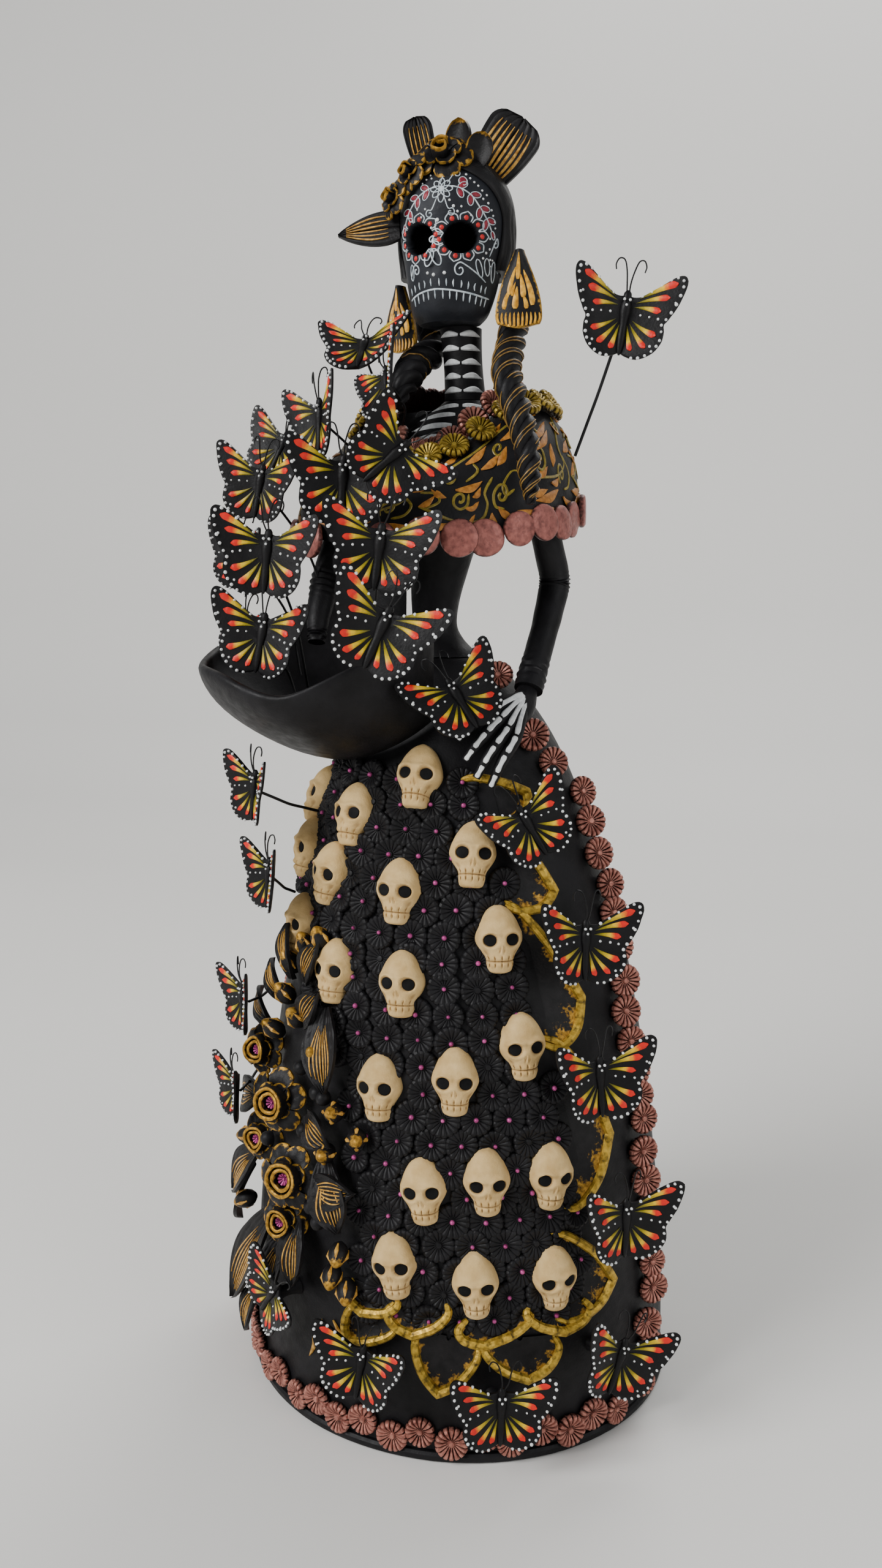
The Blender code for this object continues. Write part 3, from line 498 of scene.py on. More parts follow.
# ---------------------------------------------------------------- meshes
def side_faces(count, rings, around=False):
    """Faces between rings of count points each; with around, the last ring also meets the first."""
    faces = []
    for r in range(rings if around else rings - 1):
        low, high = r * count, (r + 1) % rings * count
        for k in range(count):
            ahead = (k + 1) % count
            faces.append([low + k, low + ahead, high + ahead, high + k])
    return faces


def closed_faces(count, rings):
    """Both end faces and the side faces of rings of count points each."""
    return [list(range(count)), list(range((rings - 1) * count, rings * count))] + side_faces(count, rings)


class Mould:
    """Closed shapes gathered into one piece; each face has its material and each point its tint."""

    def __init__(self, name, *looks):
        self.name = name
        self.looks = looks
        self.points = []
        self.tints = []
        self.faces = []
        self.slots = []

    def add(self, points, faces, look, tints=0.0):
        first = len(self.points)
        slot = self.looks.index(look)
        self.points.extend(points)
        self.tints.extend(tints if isinstance(tints, list) else [tints] * len(points))
        self.faces.extend([first + i for i in face] for face in faces)
        self.slots.extend([slot] * len(faces))

    def loft(self, rings, look, tints=0.0):
        """Closed rings of equal length, one after the other, with both ends closed."""
        count = len(rings[0])
        points = [p for ring in rings for p in ring]
        self.add(points, closed_faces(count, len(rings)), look, spread(tints, count))

    def slab(self, front, back, look, tints=0.0, closed=False):
        """The solid between two grids of points, whose rows may close on themselves."""
        rows = len(front)
        count = len(front[0])
        size = rows * count
        wrap = count if closed else count - 1
        faces = []
        for r in range(rows - 1):
            for k in range(wrap):
                corners = [r * count + k, r * count + (k + 1) % count,
                           (r + 1) * count + (k + 1) % count, (r + 1) * count + k]
                faces.append(corners)
                faces.append([size + i for i in corners[::-1]])
        for r in (0, (rows - 1) * count):
            for k in range(wrap):
                faces.append([r + k, r + (k + 1) % count, size + r + (k + 1) % count, size + r + k])
        if not closed:
            for k in (0, count - 1):
                for r in range(rows - 1):
                    low, high = r * count + k, (r + 1) * count + k
                    faces.append([low, high, size + high, size + low])
        points = [p for row in front for p in row] + [p for row in back for p in row]
        if isinstance(tints, list):
            tints = [t for row in tints for t in row] * 2
        self.add(points, faces, look, tints)

    def stamp(self, shape, matrix, look, scale=1.0):
        """A ready shape (points, faces, tints) put in place."""
        points, faces, tints = shape
        self.add([matrix @ (p * scale) for p in points], faces, look, list(tints))

    def rope(self, line, radii, look, sides=8, tints=0.0, flat=1.0, up=None):
        """A round or flattened bar along a line of points."""
        rings = []
        across = Vector(up) if up else Vector((0.3, -0.9, 0.31))
        for i, centre in enumerate(line):
            ahead = (line[min(i + 1, len(line) - 1)] - line[max(i - 1, 0)]).normalized()
            across = (across - ahead * across.dot(ahead)).normalized()
            side = ahead.cross(across)
            radius = radii[i] if isinstance(radii, list) else radii
            rings.append([centre + (side * math.cos(a) + across * math.sin(a) * flat) * radius
                          for a in angles(sides)])
        self.loft(rings, look, tints)

    def brush(self, surface, path, half, look, height=0.00028, ends=(0.25, 0.25), tints=0.0, steps=6):
        """A stroke of thick paint along a path; half is its half width, or one for each knot."""
        line = curve(path, steps)
        count = len(line)
        halves = half if isinstance(half, list) else [half] * len(path)
        widths = [row[1] for row in curve_rows([(i, h) for i, h in enumerate(halves)], steps)][:count]
        centres = [surface(u, v, 0.0) for u, v in line]
        rings = []
        across = Vector((1, 0, 0))
        for i, (centre, (u, v)) in enumerate(zip(centres, line)):
            out = normal_of(surface, u, v)
            ahead = centres[min(i + 1, count - 1)] - centres[max(i - 1, 0)]
            if ahead.length > 1e-7:
                across = out.cross(ahead).normalized()
            start = min(i / 1.5, 1.0)
            finish = min((count - 1 - i) / 1.5, 1.0)
            taper = (ends[0] + (1 - ends[0]) * start) * (ends[1] + (1 - ends[1]) * finish)
            width = max(widths[i], 0.00004) * taper
            rings.append([centre + across * width * side + out * lift for side, lift in
                          ((-1.0, 0.0), (-0.6, height), (0.6, height), (1.0, 0.0), (0.0, -0.0004))])
        if isinstance(tints, tuple):
            tints = [tints[0] + (tints[1] - tints[0]) * i / (count - 1) for i in range(count)]
        self.loft(rings, look, tints)

    def dot(self, surface, u, v, radius, look, height=0.0004, sides=8):
        """A drop of paint on a surface."""
        base = seat(surface, u, v)
        rings = []
        for share, lift in ((1.0, -0.0003), (1.0, 0.0), (0.72, height * 0.72), (0.28, height)):
            rings.append([base @ Vector((radius * share * math.cos(a), radius * share * math.sin(a), lift))
                          for a in angles(sides)])
        self.loft(rings, look)

    def build(self, slot, body="figure", replaces=(), sharp=38.0):
        mesh = bpy.data.meshes.new(self.name)
        mesh.from_pydata([tuple(p) for p in self.points], [], self.faces)
        work = bmesh.new()
        work.from_mesh(mesh)
        bmesh.ops.recalc_face_normals(work, faces=work.faces)
        work.to_mesh(mesh)
        work.free()
        carried = mesh.attributes.new("tint", "FLOAT", "POINT")
        carried.data.foreach_set("value", self.tints)
        for look in self.looks:
            mesh.materials.append(look)
        mesh.polygons.foreach_set("material_index", self.slots)
        mesh.shade_smooth()
        mesh.set_sharp_from_angle(angle=math.radians(sharp))
        piece = bpy.data.objects.new(self.name, mesh)
        bpy.context.scene.collection.objects.link(piece)
        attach(piece, body)
        if replaces:
            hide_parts(*replaces)
        return piece


def spread(tints, count):
    """One tint for each ring, or one for each point, as one for each point."""
    if not isinstance(tints, list):
        return tints
    flat = []
    for tint in tints:
        flat.extend(tint if isinstance(tint, list) else [tint] * count)
    return flat


def rosette_shape(radius, thick, grooves, cut=0.34):
    """A stamped disc: rounded rim, knife grooves from the middle, and a button in the middle."""
    around = grooves * 4
    profile = [(0.06, 0.74), (0.15, 0.70), (0.21, 0.44), (0.30, 0.46), (0.55, 0.80), (0.80, 0.98),
               (0.93, 0.84), (1.00, 0.50), (0.99, 0.18), (0.90, 0.0)]
    points = []
    tints = []
    for share, height in profile:
        for k in range(around):
            groove = 1.0 if k % 4 == 0 else 0.0
            deep = groove * cut if 0.25 < share < 0.995 else 0.0
            turn = math.tau * k / around
            reach = radius * share * (1.0 - 0.05 * groove * (share > 0.9))
            points.append(Vector((reach * math.cos(turn), reach * math.sin(turn), thick * (height - deep))))
            # The tint follows the height, so the metal paints put painted shade in the grooves and on the
            # low rim.
            tints.append(clamp(height - 0.9 * groove * (share > 0.25)))
    return points, closed_faces(around, len(profile)), tints


def bead_shape(radius, sides=10):
    """A low round drop."""
    rings = ((0.9, -0.6), (1.0, 0.0), (0.85, 0.5), (0.5, 0.82), (0.12, 0.95))
    points = [Vector((radius * s * math.cos(a), radius * s * math.sin(a), radius * h))
              for s, h in rings for a in angles(sides)]
    return points, closed_faces(sides, len(rings)), [0.9] * len(points)


def spiral(centre, radius, start, turns, unit, steps=9):
    """Knots of a spiral that winds in from radius; unit is (surface units to a metre) along u and v."""
    knots = []
    for k in range(steps + 1):
        share = k / steps
        angle = math.radians(start) + math.tau * turns * share
        reach = radius * (1.0 - 0.82 * share)
        knots.append((centre[0] + math.cos(angle) * reach * unit[0],
                      centre[1] + math.sin(angle) * reach * unit[1]))
    return knots


# ---------------------------------------------------------------- body and clothes
def base_plate():
    mould = Mould("base_plate_looks", CLAY)
    rings = []
    for inset, z in (
            (0.0012, 0.0), (0.0002, 0.0006), (0.0, 0.0014), (0.0, 0.0028), (0.0008, 0.0038),
            (0.0025, 0.0040)):
        ring = []
        for azimuth in circle(96):
            turn = math.radians(azimuth)
            place = Vector((math.sin(turn), -math.cos(turn), 0))
            dent = inset + waver(place, 0.25, 0.0003) * (z > 0.0)
            ring.append(Vector((place.x * (BASE_X - dent), place.y * (BASE_Y - dent), z)))
        rings.append(ring)
    mould.loft(rings, CLAY)
    mould.build("black_clay", replaces=["base_plate"])


def skirt_body():
    mould = Mould("skirt_shell_looks", CLAY)
    rows = 72
    rings = []
    for r in range(rows):
        z = BASE_THICK + GAP + (SKIRT_TOP - BASE_THICK - GAP) * math.sin(math.pi / 2 * r / (rows - 1))
        ring = []
        for azimuth in circle(128):
            place = skirt(azimuth, z)
            ring.append(skirt(azimuth, z,
                              waver(place, 0.03, 0.00045) + waver(place, 0.011, 0.00012) - 0.0003))
        rings.append(ring)
    mould.loft(rings, CLAY)
    mould.build("black_clay", replaces=["skirt_shell"])


# The painted ribs' heights, and how far round each one reaches in degrees
RIBS = [
    (0.3700, 42), (0.3755, 42), (0.3808, 46), (0.3858, 50), (0.3904, 56), (0.3946, 60), (0.3982, 60),
]


def torso_body():
    mould = Mould("torso_looks", CLAY, WHITE)
    low, high = TORSO[0][0], TORSO[-1][0]
    mould.loft([[torso(a, low + (high - low) * r / 70,
                       waver(torso(a, low + (high - low) * r / 70), 0.01, 0.0002))
                 for a in circle(48)] for r in range(71)], CLAY)
    sag = 0.0016
    for row, (z, reach) in enumerate(RIBS):
        for side in (-1, 1):
            path = [(side * 4 + 6, z), (side * reach * 0.5 + 6, z - sag * 0.3), (side * reach + 6, z - sag)]
            mould.brush(torso, path, [0.0010, 0.0020 - 0.00015 * row, 0.0004], WHITE, 0.0004, (0.6, 0.3))
    mould.build("black_clay", replaces=["torso"])


def neck_bones():
    mould = Mould("neck_looks", CLAY, WHITE)
    mould.loft([[neck(a, NECK_FOOT + (NECK_TOP - NECK_FOOT) * r / 24) for a in circle(40)]
                for r in range(25)], CLAY)
    for row in range(5):
        z = 0.4040 + 0.0052 * row
        for side in (-1, 1):
            path = [(side * 3 + 8, z), (side * 34 + 8, z + 0.0006), (side * 66 + 8, z - 0.0003)]
            mould.brush(neck, path, [0.0007, 0.0012, 0.0003], WHITE, 0.0004, (0.7, 0.3))
    mould.build("painted_bone", replaces=["neck"])


# Ruffle pattern of one quarter: leaves from foot to point, then stems and scrolls, as (azimuth, share)
RUFFLE_LEAVES = [
    ((50, .63), (73, .52), 1.0), ((56, .68), (71, .58), .8), ((70, .66), (68, .77), .9),
    ((52, .80), (62, .77), .8), ((46, .86), (60, .87), .9), ((70, .87), (51, .91), 1.0),
    ((42, .93), (52, .95), .7), ((33, .88), (40, .95), .8), ((30, .90), (31, .97), .8),
    ((13, .74), (26, .73), .9), ((21, .80), (25, .76), .6), ((17, .85), (24, .83), .7),
    ((-3, .89), (8, .90), .8), ((0, .95), (11, .93), .8), ((16, .93), (22, .89), .6),
    ((80, .52), (86, .60), .8), ((76, .90), (84, .93), .8), ((2, .70), (9, .78), .7),
    ((40, .60), (34, .68), .8), ((60, .94), (69, .95), .7), ((5, .50), (14, .44), .8),
    ((18, .58), (30, .52), .9), ((30, .46), (42, .40), .8), ((38, .54), (50, .50), .8),
    ((60, .46), (70, .40), .8), ((12, .62), (4, .56), .7), ((26, .66), (36, .62), .8),
    ((84, .70), (92, .64), .8), ((88, .82), (94, .76), .7), ((64, .84), (72, .82), .7),
    ((46, .70), (54, .66), .8), ((52, .40), (60, .36), .7),
]
RUFFLE_STEMS = [
    [(88, .47), (79, .66), (81, .76), (70, .81), (53, .81), (47, .78)],
    [(81, .72), (85, .80), (83, .86), (78, .87)],
    [(31, .73), (27, .79), (28, .86), (24, .92), (11, .91), (-2, .82)],
    [(47, .78), (41, .74), (36, .79), (37, .84), (41, .83)],
    [(0, .84), (6, .80), (4, .74), (-2, .72)],
    [(2, .62), (14, .54), (28, .50), (40, .46), (52, .44)],
    [(22, .60), (24, .66), (18, .70)],
    [(62, .60), (58, .52), (66, .44), (76, .42)],
]
# Scrolls as centre, radius, start angle, turns
RUFFLE_CURLS = [((57, .73), .0052, 200, 1.5), ((35, .83), .0045, 80, 1.4), ((15, .80), .0042, -20, 1.4),
                ((76, .80), .0036, 130, 1.2), ((10, .66), .0034, 160, 1.3), ((36, .58), .0032, 40, 1.2),
                ((84, .56), .0034, 200, 1.2)]


def ruffle_cloth():
    mould = Mould("ruffle_looks", CLAY, OCHRE, OLIVE)
    shares = [0.0, 0.05, 0.12, 0.20, 0.24, 0.25, 0.27] + [0.30 + 0.70 * k / 26 for k in range(27)]
    front = []
    back = []
    for share in shares:
        fold = 0.0003 + 0.0007 * max(share - 0.5, 0.0)
        front.append([ruffle(a, share, waver(ruffle(a, share), 0.012, fold)) for a in circle(168)])
        back.append([ruffle(a, share, -SHEET + waver(ruffle(a, share), 0.012, fold)) for a in circle(168)])
    mould.slab(front, back, CLAY, closed=True)
    for quarter in range(4):
        shift = 90.0 * quarter
        for foot, point, size in RUFFLE_LEAVES:
            middle = ((foot[0] + point[0]) / 2 + shift, (foot[1] + point[1]) / 2 + 0.012)
            path = [(foot[0] + shift, foot[1]), middle, (point[0] + shift, point[1])]
            mould.brush(ruffle, path, [0.0006 * size, 0.0021 * size, 0.0003], OCHRE, 0.00035, (0.6, 0.2),
                        steps=8)
        for stem in RUFFLE_STEMS:
            mould.brush(ruffle, [(a + shift, s) for a, s in stem], 0.00055, OLIVE, 0.0003, (0.5, 0.5),
                        steps=8)
        for centre, radius, start, turns in RUFFLE_CURLS:
            unit = (1050.0, 15.5)
            path = spiral((centre[0] + shift, centre[1]), radius, start, turns, unit)
            mould.brush(ruffle, path, 0.0006, OLIVE, 0.0003, (0.4, 0.9), steps=5)
    mould.build("ochre_painted_clay", replaces=["ruffle"])


def neckline():
    """Two rows of stamped rosettes that lean on the neckline, the copper one behind the gold one."""
    for name, look, share, lift, step, lean, slot, cad in (
            ("neckline_copper_looks", COPPER, 0.17, 0.0052, 18.0, 32, "copper_paint", "neckline_copper"),
            ("neckline_gold_looks", GOLD, 0.40, 0.0030, 16.5, 40, "gold_paint", "neckline_gold")):
        rng = random.Random(name)
        mould = Mould(name, look)
        shape = rosette_shape(0.0060, 0.0026, 16)
        azimuth = -152.0
        while azimuth < 153.0:
            place = facing_frame(ruffle(azimuth, share, lift), azimuth, lean + rng.uniform(-6, 6),
                                 rng.uniform(0, 360))
            mould.stamp(shape, place @ turned(6, "Y"), look, rng.uniform(0.94, 1.06))
            azimuth += step * rng.uniform(0.93, 1.05)
        mould.build(slot, replaces=[cad])


def hem_discs():
    rng = random.Random(5)
    mould = Mould("ruffle_discs_looks", PINK)
    count = 26
    for k in range(count):
        azimuth = 360.0 * k / count + rng.uniform(-1, 1)
        rim = ruffle(azimuth, 1.0)
        out = Vector((rim.x, rim.y, 0)).normalized()
        right = Vector((0, 0, 1)).cross(out)
        place = Matrix((right, Vector((0, 0, 1)), out)).transposed().to_4x4()
        place.translation = rim + out * (0.0009 + 0.0004 * (k % 2)) + Vector((0, 0, -0.0004))
        place = place @ turned(rng.uniform(-8, 2), "X")
        radius = 0.0067 * rng.uniform(0.95, 1.05)
        rings = []
        tints = []
        for share, height, tint in (
                (0.96, -0.0006, 0.5), (1.0, 0.0002, 0.5), (0.97, 0.0011, 0.75), (0.86, 0.0016, 1.0),
                (0.5, 0.0018, 0.95), (0.12, 0.0018, 0.9)):
            ring = []
            for turn in angles(36):
                wob = 1.0 + 0.035 * noise.noise(Vector((math.cos(turn) * 1.3, math.sin(turn) * 1.3,
                                                        k * 3.7)))
                reach = radius * share * wob
                spot = Vector((reach * math.cos(turn), reach * math.sin(turn), height))
                ring.append(place @ (spot + Vector((0, 0, waver(place @ spot, 0.004, 0.0003)))))
            rings.append(ring)
            tints.append(tint)
        mould.loft(rings, PINK, tints)
    mould.build("pink_paint", replaces=["ruffle_discs"])


RIGHT_ARM = [(0.0310, -0.0050, 0.3720), (0.0345, 0.0010, 0.3500), (0.0370, 0.0060, 0.3350),
             (0.0370, 0.0055, 0.3270), (0.0350, -0.0050, 0.3100), (0.0325, -0.0190, 0.2905)]
LEFT_ARM = [(-0.0330, -0.0100, 0.3700), (-0.0430, -0.0130, 0.3520), (-0.0490, -0.0170, 0.3370),
            (-0.0505, -0.0250, 0.3200), (-0.0500, -0.0300, 0.3080)]


def sleeve(name, path, radii, elbow, cad):
    """A sleeve with folds on the inside of its elbow and a wrinkled cuff."""
    mould = Mould(name, CLAY)
    surface = tube_surface(path, radii, (0.2, -1.0, 0.1), 10)
    rings = []
    for r in range(91):
        share = r / 90
        near_elbow = math.exp(-((share - elbow) / 0.07) ** 2)
        near_cuff = math.exp(-((share - 0.94) / 0.05) ** 2)
        ring = []
        for angle in circle(36):
            turn = math.radians(angle)
            fold = 0.00045 * near_elbow * math.sin(share * 190 + math.sin(turn))
            cuff = 0.00040 * near_cuff * math.sin(share * 240 + 1.3 * math.cos(2 * turn))
            ring.append(surface(angle, share, fold + cuff + waver(surface(angle, share), 0.008, 0.00025)))
        rings.append(ring)
    mould.loft(rings, CLAY)
    mould.build("black_clay", replaces=[cad])


# From the first finger to the little one
FINGER_TIPS = [
    (0.0120, -0.0460, 0.2740), (0.0150, -0.0470, 0.2665), (0.0190, -0.0465, 0.2600),
    (0.0240, -0.0445, 0.2565),
]


def hand():
    """Hand of painted bones: four fingers that spread from the wrist, and the thumb behind them."""
    mould = Mould("right_hand_looks", CLAY, WHITE)
    wrist = Vector((0.0322, -0.0200, 0.2892))
    palm = [wrist + Vector((0, 0.0010, 0.0008)), Vector((0.0308, -0.0262, 0.2832)),
            Vector((0.0268, -0.0335, 0.2782))]
    mould.rope(curve(palm, 8), [0.0040 + 0.0013 * math.sin(math.pi * k / 16) for k in range(17)], CLAY, 16)
    middle_knuckle = Vector((0.0262, -0.0362, 0.2782))
    spread_way = Vector((0.0092, 0.0012, -0.0104))
    facing = Vector((0.30, -0.90, 0.30))
    for k, tip in enumerate(FINGER_TIPS):
        side = k / 3 - 0.5
        knuckle = middle_knuckle + spread_way * side
        tip = Vector(tip)
        start = wrist.lerp(knuckle, 0.15) + facing * 0.0024
        hand_middle = wrist.lerp(knuckle, 0.6) + facing * 0.0030
        bend = knuckle.lerp(tip, 0.5) + Vector((0.0008, -0.0036, 0.0014))
        path = [start, hand_middle, knuckle + facing * 0.0012, bend, tip]
        radii = [0.0019, 0.0025, 0.0026, 0.0022, 0.0015]
        surface = tube_surface(path, radii, facing, 8)
        mould.loft([[surface(a, r / 32) for a in circle(12)] for r in range(33)], CLAY)
        for low, high, half in (
                (0.04, 0.46, 0.0012), (0.50, 0.68, 0.0012), (0.715, 0.85, 0.0011), (0.88, 0.99, 0.0010)):
            middle = (low + high) / 2
            mould.brush(surface, [(0, low), (0, middle), (0, high)], [half, half * 0.72, half], WHITE,
                        0.0004, (0.7, 0.6))
    thumb = [wrist + Vector((-0.0010, -0.0030, -0.0020)), Vector((0.0262, -0.0330, 0.2855)),
             Vector((0.0215, -0.0385, 0.2805))]
    surface = tube_surface(thumb, [0.0022, 0.0024, 0.0016], facing, 8)
    mould.loft([[surface(a, r / 16) for a in circle(12)] for r in range(17)], CLAY)
    mould.brush(surface, [(0, 0.25), (0, 0.45), (0, 0.62)], [0.0008, 0.0006, 0.0008], WHITE, 0.0004)
    mould.brush(surface, [(0, 0.68), (0, 0.80), (0, 0.97)], [0.0008, 0.0006, 0.0006], WHITE, 0.0004)
    mould.build("painted_bone", replaces=["right_hand"])


POUCH_MIDDLE = -62.0
POUCH_RIGHT = -2.0
POUCH_BACK = -128.0
POUCH_REACH = 0.1020
POUCH_WALL = 0.0034


def pouch_section(azimuth):
    """Closed section of the scoop at one azimuth: up the outside, round the rim and down the inside."""
    span = POUCH_RIGHT - POUCH_MIDDLE if azimuth > POUCH_MIDDLE else POUCH_MIDDLE - POUCH_BACK
    away = min(abs(azimuth - POUCH_MIDDLE) / span, 1.0)
    open_share = (1.0 - away ** 2) ** 0.8
    turn = math.radians(azimuth)
    if azimuth < POUCH_MIDDLE:
        rim_z = 0.2985 + 0.036 * away ** 1.5
    else:
        rim_z = 0.2985 - 0.0085 * math.exp(-((azimuth + 31.0) / 12.0) ** 2)
        rim_z += 0.010 * max(0.0, (azimuth + 31.0) / 29.0) ** 1.3
    foot_z = 0.2612 + 0.0183 * away ** 2
    foot = skirt(azimuth, foot_z, 0.0030)
    foot_r = math.hypot(foot.x, foot.y)
    sides = []
    for inward in (0.0, POUCH_WALL):
        rim_r = foot_r + (POUCH_REACH - foot_r) * open_share + 0.0020 - inward
        line = []
        for k in range(17):
            share = math.sin(math.pi / 2 * k / 16)
            rise = 1.0 - (1.0 - share ** 1.6) ** (1.0 / 1.6)
            line.append((foot_r + (rim_r - foot_r) * share,
                         foot_z + inward + (rim_z - foot_z - inward) * rise))
        sides.append(line)
    outer, inner = sides
    rim = [(outer[-1][0] - POUCH_WALL / 2 * (1 - math.cos(a)), outer[-1][1] + POUCH_WALL / 2 * math.sin(a))
           for a in (math.pi * k / 6 for k in range(1, 6))]
    ring = []
    for radius, z in outer + rim + inner[::-1]:
        place = Vector((radius * math.sin(turn), -radius * math.cos(turn), z))
        wob = 1.0 + waver(place, 0.025, 0.010)
        ring.append(Vector((place.x * wob, place.y * wob, z + waver(place, 0.03, 0.0006))))
    return ring


def pouch():
    mould = Mould("pouch_looks", CLAY)
    steps = 96
    mould.loft([pouch_section(POUCH_BACK + (POUCH_RIGHT - POUCH_BACK) * k / steps)
                for k in range(steps + 1)], CLAY)
    mould.build("black_clay", replaces=["pouch"], sharp=50.0)


# ---------------------------------------------------------------- applied to the skirt
# The panel as height, left and right azimuth
PANEL_EDGE = [
    (0.0550, -11.0, 46.0), (0.0800, -13.0, 48.0), (0.1150, -16.0, 47.5), (0.1450, -20.0, 43.0),
    (0.1700, -36.5, 40.5), (0.2000, -61.0, 37.0), (0.2400, -80.0, 33.0), (0.2580, -83.0, 30.0),
]
# The skulls as azimuth, height, tilt
SKULLS = [
    (-70, 0.244, 6), (-31, 0.242, 4), (-2, 0.258, -2), (-61, 0.224, 4), (-37, 0.219, -4),
    (-50, 0.196, 4), (-6, 0.217, 0), (20, 0.231, -4), (-27, 0.184, 4), (-3, 0.184, 2),
    (27, 0.201, 0), (32, 0.162, 2), (13, 0.150, 0), (-8, 0.145, 4), (5, 0.109, 6),
    (21, 0.113, 2), (38, 0.113, -3), (-2, 0.079, 8), (18, 0.074, 3), (38, 0.074, 2),
]
SKULL_HALF_WIDTH = 0.0088
SKULL_HALF_HEIGHT = 0.0124
SKULL_DEPTH = 0.0074


def rosette_panel():
    rng = random.Random(11)
    mould = Mould("rosette_panel_looks", CLAY, BEAD)
    rows = []
    for k in range(29):
        z = PANEL_EDGE[0][0] + (PANEL_EDGE[-1][0] - PANEL_EDGE[0][0]) * k / 28
        left, right = interpolate(PANEL_EDGE, z)
        rows.append([(left + (right - left) * i / 40, z) for i in range(41)])
    mould.slab([[skirt(a, z, 0.0012) for a, z in row] for row in rows],
               [[skirt(a, z, 0.0001) for a, z in row] for row in rows], CLAY)
    shape = rosette_shape(0.0067, 0.0027, 16, 0.14)
    bead = bead_shape(0.00090)
    skull_places = [skirt(a, z) for a, z, _ in SKULLS]
    z = PANEL_EDGE[0][0] + 0.004
    row = 0
    while z < PANEL_EDGE[-1][0] - 0.001:
        left, right = interpolate(PANEL_EDGE, z)
        flat = skirt(0, z)
        step = math.degrees(0.0110 / math.hypot(flat.x, flat.y))
        azimuth = left + step * (0.25 + 0.5 * (row % 2))
        while azimuth < right - step * 0.2:
            spot_az = azimuth + rng.uniform(-0.05, 0.05) * step
            spot_z = z + rng.uniform(-0.0006, 0.0006)
            spin, tip, bare = rng.uniform(0, 360), rng.uniform(-9, 9), rng.random() < 0.12
            near = min((skirt(spot_az, spot_z) - p).length for p in skull_places)
            if near > 0.0060:
                base = seat(skirt, spot_az, spot_z, 0.0008, spin, tip)
                mould.stamp(shape, base, CLAY, rng.uniform(0.92, 1.04))
                if not bare:
                    mould.stamp(bead, seat(skirt, spot_az, spot_z, 0.0030), BEAD, rng.uniform(0.8, 1.1))
            azimuth += step
        gap = (skirt(0, z + 0.001) - flat).length / 0.001
        z += 0.0096 / gap
        row += 1
    mould.build("black_clay", replaces=["rosette_panel"])


